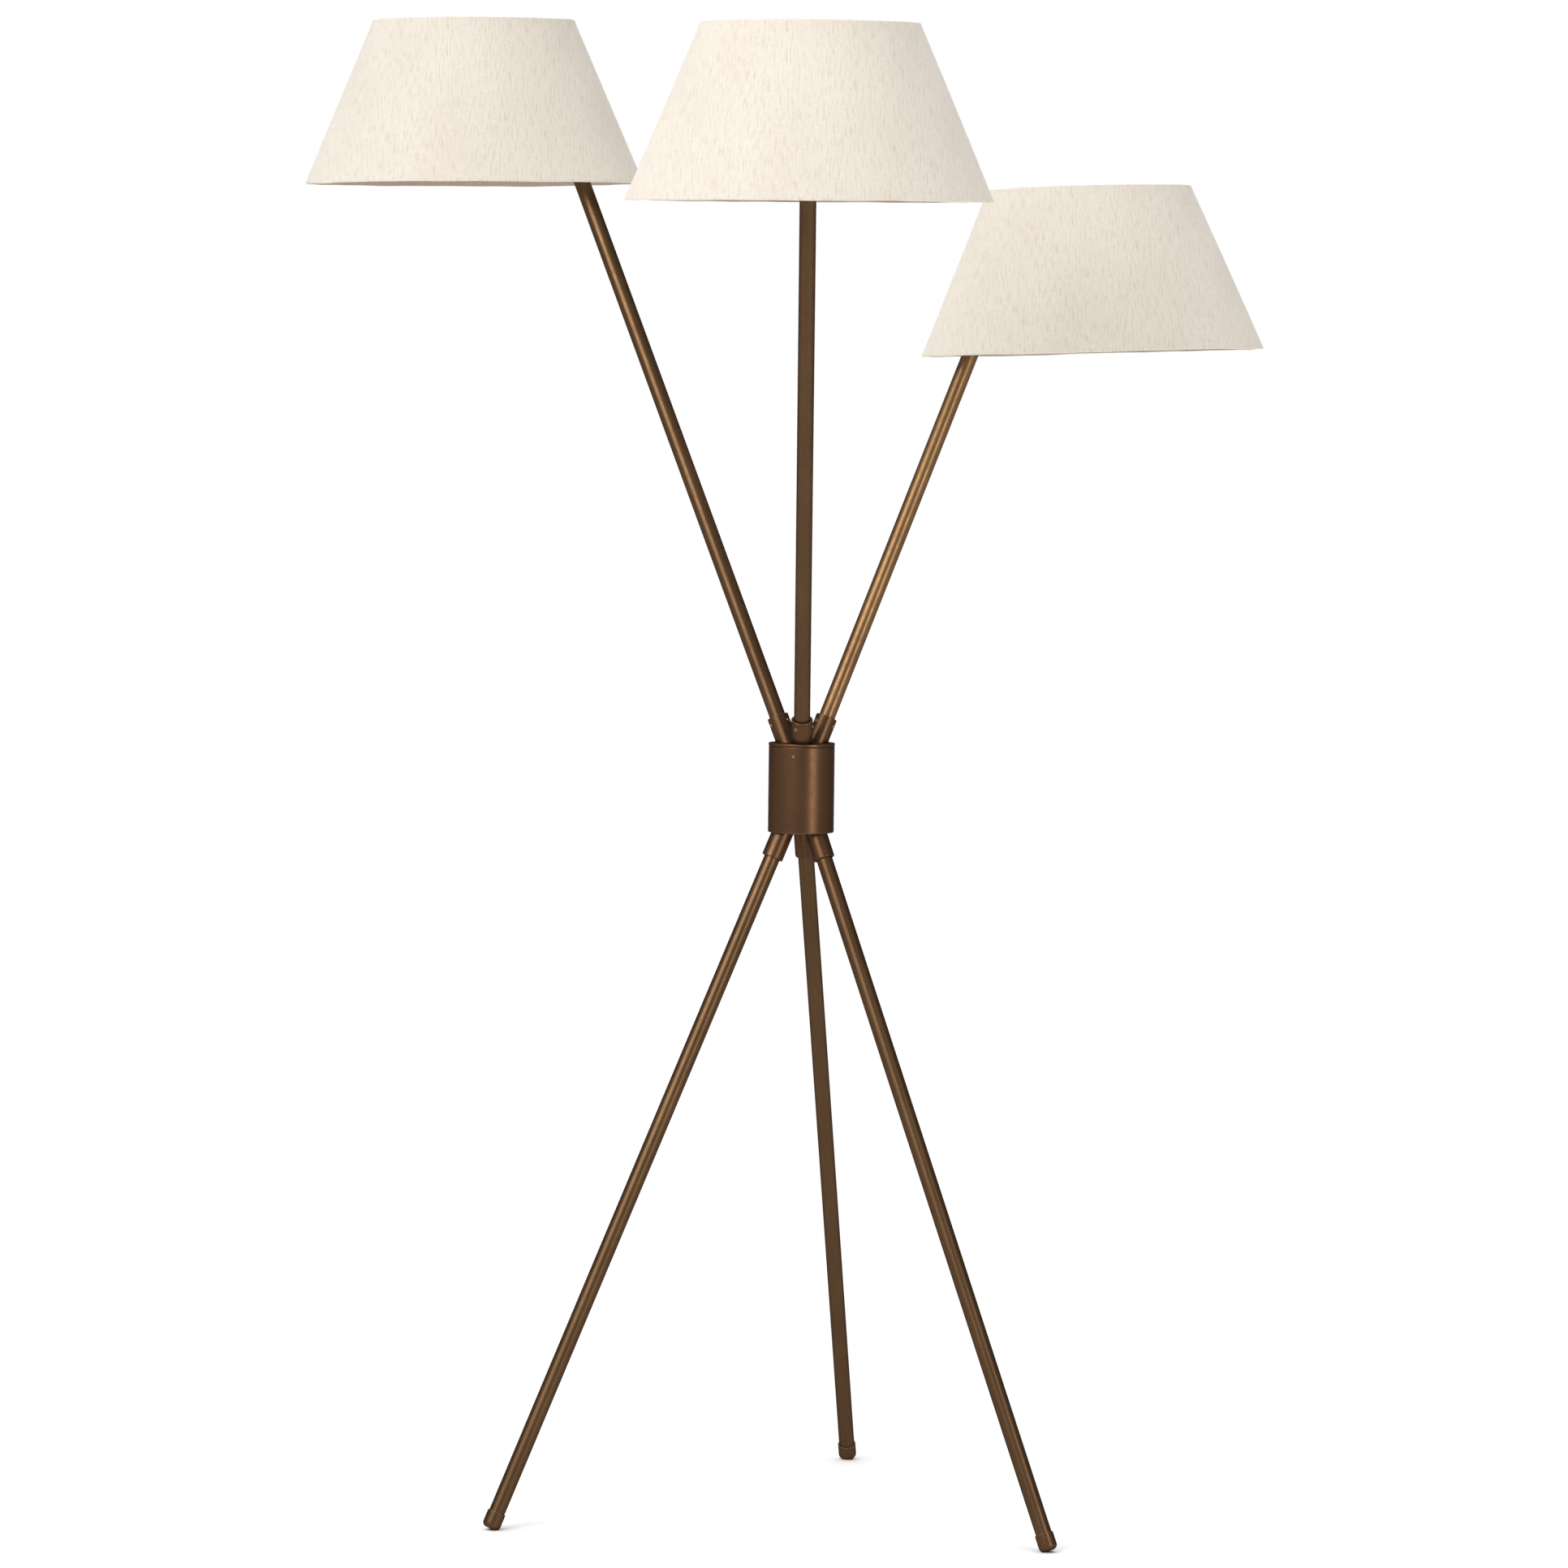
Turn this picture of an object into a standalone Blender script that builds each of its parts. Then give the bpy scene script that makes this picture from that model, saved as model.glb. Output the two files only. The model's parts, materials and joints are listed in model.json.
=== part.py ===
"""A floor lamp: a round hub on three legs, and three arms that each carry a lamp holder and a linen shade.

Metres, +Z up. The origin is on the floor, under the middle of the lamp's bounding box.
"""

from collections import namedtuple
from math import cos, pi, radians, sin

import bmesh
import bpy
from mathutils import Matrix, Vector

GAP = 0.0003  # between two pieces that touch
MERGE = 0.0001
TURN = 2 * pi

# Steps around a turned piece
FINE, ROUND, SMALL, TINY = 40, 28, 16, 12

# Tubes and the collars that hold them
TUBE_RADIUS = 0.009525
TUBE_WALL = 0.0012
TUBE_START = 0.029  # from the point where the tubes' axes cross
COLLAR_RADIUS = 0.0127
COLLAR_BORE = TUBE_RADIUS + GAP
COLLAR_OUTSIDE = 0.0325  # length outside the hub
COLLAR_INSIDE = 0.011  # length inside the hub
COLLAR_CHAMFER = 0.0008

# Hub
HUB_BOTTOM = 0.8116
HUB_TOP = 0.9173
HUB_RADIUS = 0.03897
HUB_WALL = 0.002
HUB_FLOOR = 0.003
HUB_EDGE = 0.0015
CAP_RADIUS = 0.0392
CAP_THICKNESS = 0.0032
CAP_GROOVE = 0.0005
SPIGOT_WALL = 0.002
SPIGOT_BOTTOM = 0.8985
CAP_SCREW_HEIGHT = 0.9039
CAP_SCREW_AZIMUTH = radians(-105)

# Grub screws
GRUB_RADIUS = 0.0024
GRUB_SOCKET_RADIUS = 0.0013
GRUB_SOCKET_DEPTH = 0.0018
GRUB_PROUD = 0.0005  # how far a grub screw stands out of its collar
COLLAR_SCREWS = 3
COLLAR_SCREW_DEPTH = 0.009  # below the collar's lip

# Legs: azimuth and lean of each, from the point where their axes cross
LEG_CROSSING = 0.8634
Leg = namedtuple("Leg", "azimuth lean")
LEGS = {
    "left": Leg(radians(202.0), radians(23.9)),
    "right": Leg(radians(320.2), radians(24.1)),
    "rear": Leg(radians(79.9), radians(24.4)),
}
FOOT_RADIUS = 0.0109
FOOT_LENGTH = 0.0205
FOOT_EDGE = 0.006
FOOT_FLOOR = 0.004
FOOT_WEAR = 0.0008  # depth of the flat on which the foot stands
BUSHING_HEIGHT = 0.12  # of the cord's way out, up the rear leg
BUSHING_HOLE = 0.005
BUSHING_FLANGE = 0.0068
BUSHING_BORE = 0.0032

# Arms: azimuth, lean, distance from the crossing to the knuckle, turn in the collar, tilt of the
# shade at the knuckle, and the angle of the first set screw
ARM_CROSSING = 0.8718
Arm = namedtuple("Arm", "azimuth lean reach swivel tilt screws")
ARMS = {
    "left": Arm(radians(146.4), radians(24.8), 0.796, radians(-1.0), radians(0.6), radians(58)),
    "front": Arm(radians(269.8), radians(23.9), 0.762, radians(0.6), radians(0.5), radians(-36)),
    "right": Arm(radians(27.0), radians(23.5), 0.569, radians(-4.0), radians(-1.5), radians(70)),
}

# Knuckle: an eye on the arm between two ears of a fork
EYE_RADIUS = 0.0085
EYE_HALF = 0.003
EAR_OUTSIDE = 0.0068
PIN_RADIUS = 0.0022
FORK_BLOCK_START = 0.0092
FORK_BLOCK_END = 0.018
FORK_BLOCK_RADIUS = 0.0075
THUMB_RADIUS = 0.008
THUMB_LENGTH = 0.006

# Link tube from the knuckle to the lamp holder
LINK_RADIUS = 0.00515
LINK_WALL = 0.0011
LINK_BEND = 0.014
LINK_START = 0.0125
LINK_TOP = 0.024
LINK_LENGTH = 0.1534  # from the knuckle's axis to the lamp holder's axis

# Lamp holder, with heights above the knuckle
HOLDER_RADIUS = 0.0162
HOLDER_BOTTOM = 0.033
HOLDER_TOP = 0.083
HOLDER_BORE = 0.0144
HOLDER_BORE_FLOOR = 0.058
FLANGE_RADIUS = 0.020
FLANGE_BOTTOM = 0.062
FLANGE_TOP = 0.064
CUP_RIM = 0.040
CUP_WALL = 0.0009
RING_RADIUS = 0.0215
RING_HEIGHT = 0.007
KNOB_HEIGHT = 0.050
KNOB_RADIUS = 0.0048
KNOB_LENGTH = 0.012
KNOB_SHAFT_RADIUS = 0.0018
KNOB_SHAFT_START = 0.0125

# Bulb
BULB_RADIUS = 0.030
BULB_BOTTOM = 0.0585
BULB_LENGTH = 0.110
BULB_BASE_RADIUS = 0.0132
BULB_NECK_RADIUS = 0.0145
BULB_WALL = 0.0012
BULB_HOLE = 0.004

# Shade and its wire frame
SHADE_BOTTOM = -0.018  # below the knuckle
SHADE_HEIGHT = 0.1972
SHADE_BOTTOM_RADIUS = 0.2050
SHADE_TOP_RADIUS = 0.1213
SHADE_WALL = 0.0012
WIRE_RADIUS = 0.00125
TOP_RING_WIRE = 0.0015
TOP_RING_DEPTH = 0.0023  # below the shade's top edge
FITTER_OUTSIDE = 0.0245
FITTER_THICKNESS = 0.002
SPOKES = 3
SPOKE_START = 0.0225
SPOKE_BEND = 0.034

# Finishes: colour, roughness and metallic value
BRONZE = ((0.075, 0.045, 0.028), 0.38, 0.9)
PLATED = ((0.72, 0.68, 0.60), 0.25, 1.0)
BRASS = ((0.55, 0.38, 0.17), 0.35, 1.0)
LINEN = ((0.82, 0.76, 0.67), 0.95, 0.0)
OPAL = ((0.93, 0.92, 0.88), 0.3, 0.0)
PHENOLIC = ((0.03, 0.028, 0.026), 0.5, 0.0)
CERAMIC = ((0.80, 0.78, 0.72), 0.45, 0.0)


def clear_scene():
    for obj in list(bpy.data.objects):
        bpy.data.objects.remove(obj, do_unlink=True)
    for old in list(bpy.data.collections):
        bpy.data.collections.remove(old)


def new_collection(name):
    made = bpy.data.collections.new(name)
    bpy.context.scene.collection.children.link(made)
    return made


clear_scene()
PARTS = new_collection("tripod_floor_lamp")
CUTTERS = new_collection("cutters")


def finish_material(name, finish):
    colour, roughness, metallic = finish
    material = bpy.data.materials.new(name)
    material.use_nodes = True
    shader = material.node_tree.nodes["Principled BSDF"]
    shader.inputs["Base Color"].default_value = (*colour, 1)
    shader.inputs["Roughness"].default_value = roughness
    shader.inputs["Metallic"].default_value = metallic
    return material


def axis_empty(name, parent, matrix):
    """An empty whose +Z, or +Y at a knuckle, is the axis of what hangs on it."""
    empty = bpy.data.objects.new(name, None)
    PARTS.objects.link(empty)
    empty.parent = parent
    empty.matrix_basis = matrix
    return empty


def as_part(obj, finish, parent):
    PARTS.objects.link(obj)
    obj.parent = parent
    obj.data.materials.append(finish_material(obj.name, finish))
    return obj


def as_cutter(obj, parent):
    CUTTERS.objects.link(obj)
    obj.parent = parent
    obj.hide_render = True
    obj.display_type = "WIRE"
    return obj


def turned(name, profile, steps, closed=False):
    """(radius, height) points down the outer side of a profile, turned about Z."""
    edges = [(i, i + 1) for i in range(len(profile) - 1)]
    if closed:
        edges.append((len(profile) - 1, 0))
    mesh = bpy.data.meshes.new(name)
    mesh.from_pydata([(radius, 0, height) for radius, height in profile], edges, [])
    obj = bpy.data.objects.new(name, mesh)
    screw = obj.modifiers.new("Turn", "SCREW")
    screw.steps = screw.render_steps = steps
    screw.use_merge_vertices = True
    screw.merge_threshold = MERGE
    return obj


def ring_profile(inner, outer, bottom, top, chamfer=0.0):
    """The section of a plain ring, with its upper edge broken when a chamfer is given."""
    if not chamfer:
        return [(outer, top), (outer, bottom), (inner, bottom), (inner, top)]
    return [
        (outer - chamfer, top),
        (outer, top - chamfer),
        (outer, bottom),
        (inner, bottom),
        (inner, top),
    ]


def cylinder(name, radius, start, end, sides, turn=Matrix.Identity(4)):
    """A solid cylinder from start to end along Z, which the turn then moves."""
    mesh = bpy.data.meshes.new(name)
    bm = bmesh.new()
    place = turn @ Matrix.Translation((0, 0, (start + end) / 2))
    bmesh.ops.create_cone(
        bm, cap_ends=True, segments=sides, radius1=radius, radius2=radius, depth=end - start, matrix=place
    )
    bm.to_mesh(mesh)
    bm.free()
    smooth(mesh)
    return bpy.data.objects.new(name, mesh)


def box(name, low, high):
    low, high = Vector(low), Vector(high)
    mesh = bpy.data.meshes.new(name)
    bm = bmesh.new()
    place = Matrix.Translation((low + high) / 2) @ Matrix.Diagonal((*(high - low), 1))
    bmesh.ops.create_cube(bm, size=1, matrix=place)
    bm.to_mesh(mesh)
    bm.free()
    return bpy.data.objects.new(name, mesh)


def smooth(mesh):
    mesh.shade_smooth()
    mesh.set_sharp_from_angle(angle=radians(30))


def hollow_tube(name, radius, wall, start, end, sides):
    """A straight tube along Z, open at both ends."""
    length = end - start
    bpy.ops.mesh.primitive_cylinder_add(vertices=sides, radius=radius, depth=length, end_fill_type="NOTHING")
    obj = bpy.context.object
    obj.name = obj.data.name = name
    for holder in obj.users_collection:
        holder.objects.unlink(obj)
    obj.data.transform(Matrix.Translation((0, 0, (start + end) / 2)))
    smooth(obj.data)
    add_wall(obj, wall)
    return obj


def add_wall(obj, thickness):
    shell = obj.modifiers.new("Wall", "SOLIDIFY")
    shell.thickness = thickness
    shell.offset = -1


def wire(name, points, radius, sides, caps=True):
    """A mesh of the wire or tube through the points, which are straight runs and arcs."""
    curve = bpy.data.curves.new(name, "CURVE")
    curve.dimensions = "3D"
    curve.bevel_depth = radius
    curve.bevel_resolution = sides // 2 - 2
    curve.use_fill_caps = caps
    spline = curve.splines.new("POLY")
    spline.points.add(len(points) - 1)
    for point, place in zip(spline.points, points):
        point.co = (*place, 1)
    path = bpy.data.objects.new(name + "_path", curve)
    bpy.context.scene.collection.objects.link(path)
    evaluated = path.evaluated_get(bpy.context.evaluated_depsgraph_get())
    mesh = bpy.data.meshes.new_from_object(evaluated)
    bm = bmesh.new()
    bm.from_mesh(mesh)
    bmesh.ops.remove_doubles(bm, verts=bm.verts, dist=MERGE / 10)
    bm.to_mesh(mesh)
    bm.free()
    obj = bpy.data.objects.new(name, mesh)
    obj.matrix_world = path.matrix_world
    bpy.data.objects.remove(path, do_unlink=True)
    smooth(mesh)
    return obj


def boolean(obj, operation, tool):
    change = obj.modifiers.new(f"{operation.title()} {tool.name}", "BOOLEAN")
    change.operation = operation
    change.object = tool
    change.solver = "EXACT"


def cut(obj, *tools):
    for tool in tools:
        boolean(obj, "DIFFERENCE", tool)


def join(obj, *tools):
    for tool in tools:
        boolean(obj, "UNION", tool)


def arc(centre, radius, start, end, steps):
    """Points of an arc in a plane, from one angle to another."""
    angles = (start + (end - start) * i / steps for i in range(steps + 1))
    return [(centre[0] + radius * cos(a), centre[1] + radius * sin(a)) for a in angles]


def turn_z(angle):
    return Matrix.Rotation(angle, 4, "Z")


def turn_y(angle):
    return Matrix.Rotation(angle, 4, "Y")


Z_TO_X = turn_y(pi / 2)
Z_TO_Y = Matrix.Rotation(-pi / 2, 4, "X")


def grub_profile(length):
    """A set screw with a socket in its outer end, standing on Z = 0."""
    return [
        (0, length - GRUB_SOCKET_DEPTH),
        (GRUB_SOCKET_RADIUS, length - GRUB_SOCKET_DEPTH),
        (GRUB_SOCKET_RADIUS, length),
        (GRUB_RADIUS, length),
        (GRUB_RADIUS, 0),
        (0, 0),
    ]


def grub_screw(name, parent, inner, outer, place):
    """A set screw from one distance to another out from an axis, and the cutter of its hole."""
    obj = as_part(turned(name, grub_profile(outer - inner), 8), PLATED, parent)
    obj.matrix_basis = place @ Matrix.Translation((0, 0, inner))
    hole = cylinder(name + "_hole", GRUB_RADIUS + GAP, inner - 0.003, outer + 0.003, 8)
    as_cutter(hole, parent).matrix_basis = place
    return hole


def make_collar(name, parent, plate_distance):
    """A sleeve around a tube, through a plate of the hub, and the cutter of its hole in the plate."""
    top = plate_distance + COLLAR_OUTSIDE
    bottom = plate_distance - COLLAR_INSIDE
    profile = ring_profile(COLLAR_BORE, COLLAR_RADIUS, bottom, top, COLLAR_CHAMFER)
    collar = as_part(turned(name, profile, SMALL, closed=True), BRONZE, parent)
    hole = cylinder(name + "_hole", COLLAR_RADIUS + GAP, bottom - 0.01, top, SMALL)
    as_cutter(hole, parent)
    return collar, hole


def make_hub(lamp, floor_holes, lid_holes):
    inside = HUB_RADIUS - HUB_WALL
    wall_top = HUB_TOP - CAP_THICKNESS - CAP_GROOVE
    body_profile = [
        (0, HUB_BOTTOM + HUB_FLOOR),
        (inside, HUB_BOTTOM + HUB_FLOOR),
        (inside, wall_top),
        (HUB_RADIUS, wall_top),
        (HUB_RADIUS, HUB_BOTTOM + HUB_EDGE),
        (HUB_RADIUS - HUB_EDGE, HUB_BOTTOM),
        (0, HUB_BOTTOM),
    ]
    body = as_part(turned("hub_body", body_profile, ROUND), BRONZE, lamp)
    cut(body, *floor_holes)

    spigot_outside = inside - GAP
    spigot_inside = spigot_outside - SPIGOT_WALL
    under_lid = HUB_TOP - CAP_THICKNESS
    cap_profile = [
        (0, HUB_TOP),
        (CAP_RADIUS - COLLAR_CHAMFER, HUB_TOP),
        (CAP_RADIUS, HUB_TOP - COLLAR_CHAMFER),
        (CAP_RADIUS, under_lid),
        (spigot_outside, under_lid),
        (spigot_outside, SPIGOT_BOTTOM),
        (spigot_inside, SPIGOT_BOTTOM),
        (spigot_inside, under_lid),
        (0, under_lid),
    ]
    cap = as_part(turned("hub_cap", cap_profile, ROUND), BRONZE, lamp)
    cut(cap, *lid_holes)

    place = Matrix.Translation((0, 0, CAP_SCREW_HEIGHT)) @ turn_z(CAP_SCREW_AZIMUTH) @ Z_TO_X
    screw_hole = grub_screw("hub_cap_screw", lamp, spigot_inside, HUB_RADIUS + GRUB_PROUD, place)
    cut(body, screw_hole)
    cut(cap, screw_hole)


def make_terminal_block(lamp):
    """A ceramic block on the inner wall of the hub, with three ways for the wires."""
    outer_face, depth, half_width, half_height = 0.0352, 0.012, 0.0085, 0.014
    middle = (LEG_CROSSING + ARM_CROSSING) / 2
    low = (outer_face - depth, -half_width, middle - half_height)
    high = (outer_face, half_width, middle + half_height)
    block = as_part(box("terminal_block", low, high), CERAMIC, lamp)
    block.matrix_basis = turn_z(radians(140))
    for i in range(3):
        place = Matrix.Translation((outer_face - depth / 2, 0, middle + (i - 1) * 0.009)) @ Z_TO_Y
        way = cylinder(f"wire_way_{i}", 0.0024, -0.02, 0.02, 8)
        as_cutter(way, lamp).matrix_basis = block.matrix_basis @ place
        cut(block, way)


def make_foot(name, parent, end, floor_cut):
    """A turned cap on the end of a leg, with a flat where it stands on the floor."""
    edge_centre = (FOOT_RADIUS - FOOT_EDGE, end - FOOT_EDGE)
    bore = TUBE_RADIUS + GAP
    profile = [(0, end)] + arc(edge_centre, FOOT_EDGE, pi / 2, 0, 4)
    profile += [(FOOT_RADIUS, end - FOOT_LENGTH), (bore, end - FOOT_LENGTH)]
    profile += [(bore, end - FOOT_FLOOR), (0, end - FOOT_FLOOR)]
    foot = as_part(turned(name, profile, SMALL), BRONZE, parent)
    cut(foot, floor_cut)


def make_bushing(parent, leg, distance):
    """The lined hole in the back of the rear leg, where the cord comes out."""
    place = Matrix.Translation((0, 0, distance)) @ turn_y(-pi / 2)
    hole = cylinder("cord_hole", BUSHING_HOLE, 0, 2 * TUBE_RADIUS, 16)
    as_cutter(hole, parent).matrix_basis = place
    cut(leg, hole)
    neck = BUSHING_HOLE - GAP
    flange_start = TUBE_RADIUS + GAP
    flange_end = flange_start + 0.0016
    inner_end = TUBE_RADIUS - TUBE_WALL - 0.001
    profile = [
        (BUSHING_BORE, flange_end),
        (BUSHING_FLANGE - 0.0005, flange_end),
        (BUSHING_FLANGE, flange_start),
        (neck, flange_start),
        (neck, inner_end),
        (BUSHING_BORE, inner_end),
    ]
    bushing = as_part(turned("cord_bushing", profile, TINY, closed=True), PHENOLIC, parent)
    bushing.matrix_basis = place


def make_leg(side, leg, lamp, floor_cut):
    axis = Matrix.Translation((0, 0, LEG_CROSSING)) @ turn_z(leg.azimuth) @ turn_y(pi - leg.lean)
    frame = axis_empty(f"leg_{side}_axis", lamp, axis)
    plate_distance = (LEG_CROSSING - HUB_BOTTOM) / cos(leg.lean)
    _, hole = make_collar(f"leg_collar_{side}", frame, plate_distance)

    # The lowest point of the rounded edge would be FOOT_WEAR under the floor.
    edge_drop = FOOT_EDGE * (1 - cos(leg.lean)) + (FOOT_RADIUS - FOOT_EDGE) * sin(leg.lean)
    end = (LEG_CROSSING - (edge_drop - FOOT_WEAR)) / cos(leg.lean)
    make_foot(f"foot_{side}", frame, end, floor_cut)
    tube_end = end - FOOT_FLOOR - GAP
    tube = hollow_tube(f"leg_{side}", TUBE_RADIUS, TUBE_WALL, TUBE_START, tube_end, SMALL)
    as_part(tube, BRONZE, frame)
    if side == "rear":
        make_bushing(frame, tube, end - BUSHING_HEIGHT)
    return hole


def make_arm_tube(side, frame, reach):
    """The arm's tube, with a turned plug and a flat eye at its upper end."""
    tube_end = reach - 0.016
    tube = hollow_tube(f"arm_{side}", TUBE_RADIUS, TUBE_WALL, TUBE_START, tube_end, SMALL)
    as_part(tube, BRONZE, frame)
    plug_radius = TUBE_RADIUS - TUBE_WALL / 2
    plug_profile = [
        (0, reach - 0.0096),
        (0.006, reach - 0.0096),
        (plug_radius, reach - 0.0135),
        (plug_radius, reach - 0.024),
        (0, reach - 0.024),
    ]
    plug = as_cutter(turned(f"plug_{side}", plug_profile, SMALL), frame)
    neck = as_cutter(box(f"neck_{side}", (-0.005, -EYE_HALF, reach - 0.013), (0.005, EYE_HALF, reach)), frame)
    pivot = Matrix.Translation((0, 0, reach)) @ Z_TO_Y
    eye = as_cutter(cylinder(f"eye_{side}", EYE_RADIUS, -EYE_HALF * 1.001, EYE_HALF * 1.001, SMALL), frame)
    eye.matrix_basis = pivot
    bore = as_cutter(cylinder(f"eye_bore_{side}", PIN_RADIUS + GAP, -0.02, 0.02, 10), frame)
    bore.matrix_basis = pivot
    join(tube, plug, neck, eye)
    cut(tube, bore)


def make_knuckle(side, frame):
    """The fork that tilts on the arm's eye and holds the link tube."""
    fork = cylinder(f"knuckle_{side}", EYE_RADIUS, -EAR_OUTSIDE, EAR_OUTSIDE, SMALL, Z_TO_Y)
    as_part(fork, BRONZE, frame)
    half = 0.006
    ear = EAR_OUTSIDE * 0.999
    web = as_cutter(box(f"web_{side}", (0, -ear, -half), (0.0105, ear, half)), frame)
    block = cylinder(f"block_{side}", FORK_BLOCK_RADIUS, FORK_BLOCK_START, FORK_BLOCK_END, SMALL, Z_TO_X)
    as_cutter(block, frame)
    slot_half = EYE_HALF + GAP
    slot = box(f"slot_{side}", (-0.02, -slot_half, -0.02), (FORK_BLOCK_START, slot_half, 0.02))
    as_cutter(slot, frame)
    pin_bore = as_cutter(cylinder(f"pin_bore_{side}", PIN_RADIUS + GAP, -0.02, 0.02, 10, Z_TO_Y), frame)
    link_bore = cylinder(f"link_bore_{side}", LINK_RADIUS + GAP, LINK_START - GAP, 0.03, 12, Z_TO_X)
    as_cutter(link_bore, frame)
    wire_bore = as_cutter(cylinder(f"wire_bore_{side}", 0.003, 0, 0.03, 10, Z_TO_X), frame)
    join(fork, web, block)
    cut(fork, slot, pin_bore, link_bore, wire_bore)


def make_knuckle_screw(side, frame):
    """A thumb screw through the fork and the eye, along Y."""
    head_start = EAR_OUTSIDE + GAP
    head_end = head_start + THUMB_LENGTH
    edge = 0.0008
    profile = [
        (0, head_end),
        (THUMB_RADIUS - edge, head_end),
        (THUMB_RADIUS, head_end - edge),
        (THUMB_RADIUS, head_start + edge),
        (THUMB_RADIUS - edge, head_start),
        (PIN_RADIUS, head_start),
        (PIN_RADIUS, -EAR_OUTSIDE),
        (0, -EAR_OUTSIDE),
    ]
    screw = as_part(turned(f"knuckle_screw_{side}", profile, TINY), BRASS, frame)
    screw.matrix_basis = Z_TO_Y


def make_link(side, frame):
    """The bent tube that carries the lamp holder."""
    bend = arc((LINK_LENGTH - LINK_BEND, LINK_BEND), LINK_BEND, -pi / 2, 0, 4)
    points = [(LINK_START, 0, 0)] + [(x, 0, z) for x, z in bend] + [(LINK_LENGTH, 0, LINK_TOP)]
    link = as_part(wire(f"link_{side}", points, LINK_RADIUS, 10, caps=False), BRONZE, frame)
    add_wall(link, LINK_WALL)


def make_socket_cap(side, frame):
    """The lower cup of the lamp holder, with a neck around the link tube."""
    outer = [(HOLDER_RADIUS + GAP + CUP_WALL, CUP_RIM), (HOLDER_RADIUS + GAP + CUP_WALL, 0.0325)]
    outer += [(0.0155, 0.0272), (0.0092, 0.0228), (0.0074, 0.021), (0.0074, 0.016)]
    inner = [(LINK_RADIUS + GAP, 0.016), (LINK_RADIUS + GAP, 0.0222), (0.0086, 0.0239)]
    inner += [(0.0148, 0.0281), (HOLDER_RADIUS + GAP, 0.0328), (HOLDER_RADIUS + GAP, CUP_RIM)]
    as_part(turned(f"socket_cap_{side}", outer + inner, SMALL, closed=True), BRASS, frame)


def make_socket_shell(side, frame):
    """The lamp holder's body: a flange for the shade's fitter, and a threaded skirt above it."""
    profile = [
        (0, HOLDER_BORE_FLOOR),
        (HOLDER_BORE, HOLDER_BORE_FLOOR),
        (HOLDER_BORE, HOLDER_TOP),
        (HOLDER_RADIUS, HOLDER_TOP),
        (HOLDER_RADIUS, FLANGE_TOP),
        (FLANGE_RADIUS, FLANGE_TOP),
        (FLANGE_RADIUS, FLANGE_BOTTOM),
        (HOLDER_RADIUS, FLANGE_BOTTOM - 0.001),
        (HOLDER_RADIUS, HOLDER_BOTTOM),
        (0, HOLDER_BOTTOM),
    ]
    shell = as_part(turned(f"socket_shell_{side}", profile, SMALL), PHENOLIC, frame)
    hole = cylinder(f"shaft_hole_{side}", KNOB_SHAFT_RADIUS + GAP, KNOB_SHAFT_START - GAP, 0.03, 10, Z_TO_X)
    as_cutter(hole, frame).matrix_basis = Matrix.Translation((0, 0, KNOB_HEIGHT))
    cut(shell, hole)


def make_switch_knob(side, frame):
    start = HOLDER_RADIUS + 0.001
    end = start + KNOB_LENGTH
    profile = [
        (0, end),
        (KNOB_RADIUS * 0.75, end),
        (KNOB_RADIUS, end - 0.0015),
        (KNOB_RADIUS, start + 0.002),
        (KNOB_RADIUS * 0.7, start),
        (KNOB_SHAFT_RADIUS, start),
        (KNOB_SHAFT_RADIUS, KNOB_SHAFT_START),
        (0, KNOB_SHAFT_START),
    ]
    as_part(turned(f"switch_knob_{side}", profile, 12), PHENOLIC, frame)


def make_socket_ring(side, frame):
    bottom = FLANGE_TOP + FITTER_THICKNESS + 2 * GAP
    profile = ring_profile(HOLDER_RADIUS + GAP, RING_RADIUS, bottom, bottom + RING_HEIGHT, 0.0006)
    as_part(turned(f"socket_ring_{side}", profile, SMALL, closed=True), PHENOLIC, frame)


def bulb_half(inset):
    """The pear-shaped outline down to its screw base, moved in by an inset."""
    top = BULB_BOTTOM + BULB_LENGTH
    globe = arc((0, top - BULB_RADIUS), BULB_RADIUS - inset, pi / 2, -pi / 7, 5)
    globe[0] = (0, top - inset)
    neck_top = HOLDER_TOP + 0.006
    return globe + [
        (BULB_NECK_RADIUS + 0.004 - inset, neck_top + 0.014),
        (BULB_NECK_RADIUS - inset, neck_top),
        (BULB_BASE_RADIUS - inset, HOLDER_TOP),
        (BULB_BASE_RADIUS - inset, BULB_BOTTOM + 0.006),
    ]


def make_bulb(side, frame):
    """A hollow pear-shaped bulb, with its screw base in the lamp holder and a hole in the base's end."""
    outside = bulb_half(0) + [(BULB_HOLE + 0.001, BULB_BOTTOM), (BULB_HOLE, BULB_BOTTOM)]
    inside = [(BULB_HOLE, BULB_BOTTOM + BULB_WALL)] + bulb_half(BULB_WALL)[::-1]
    as_part(turned(f"bulb_{side}", outside + inside, TINY), OPAL, frame)


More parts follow.
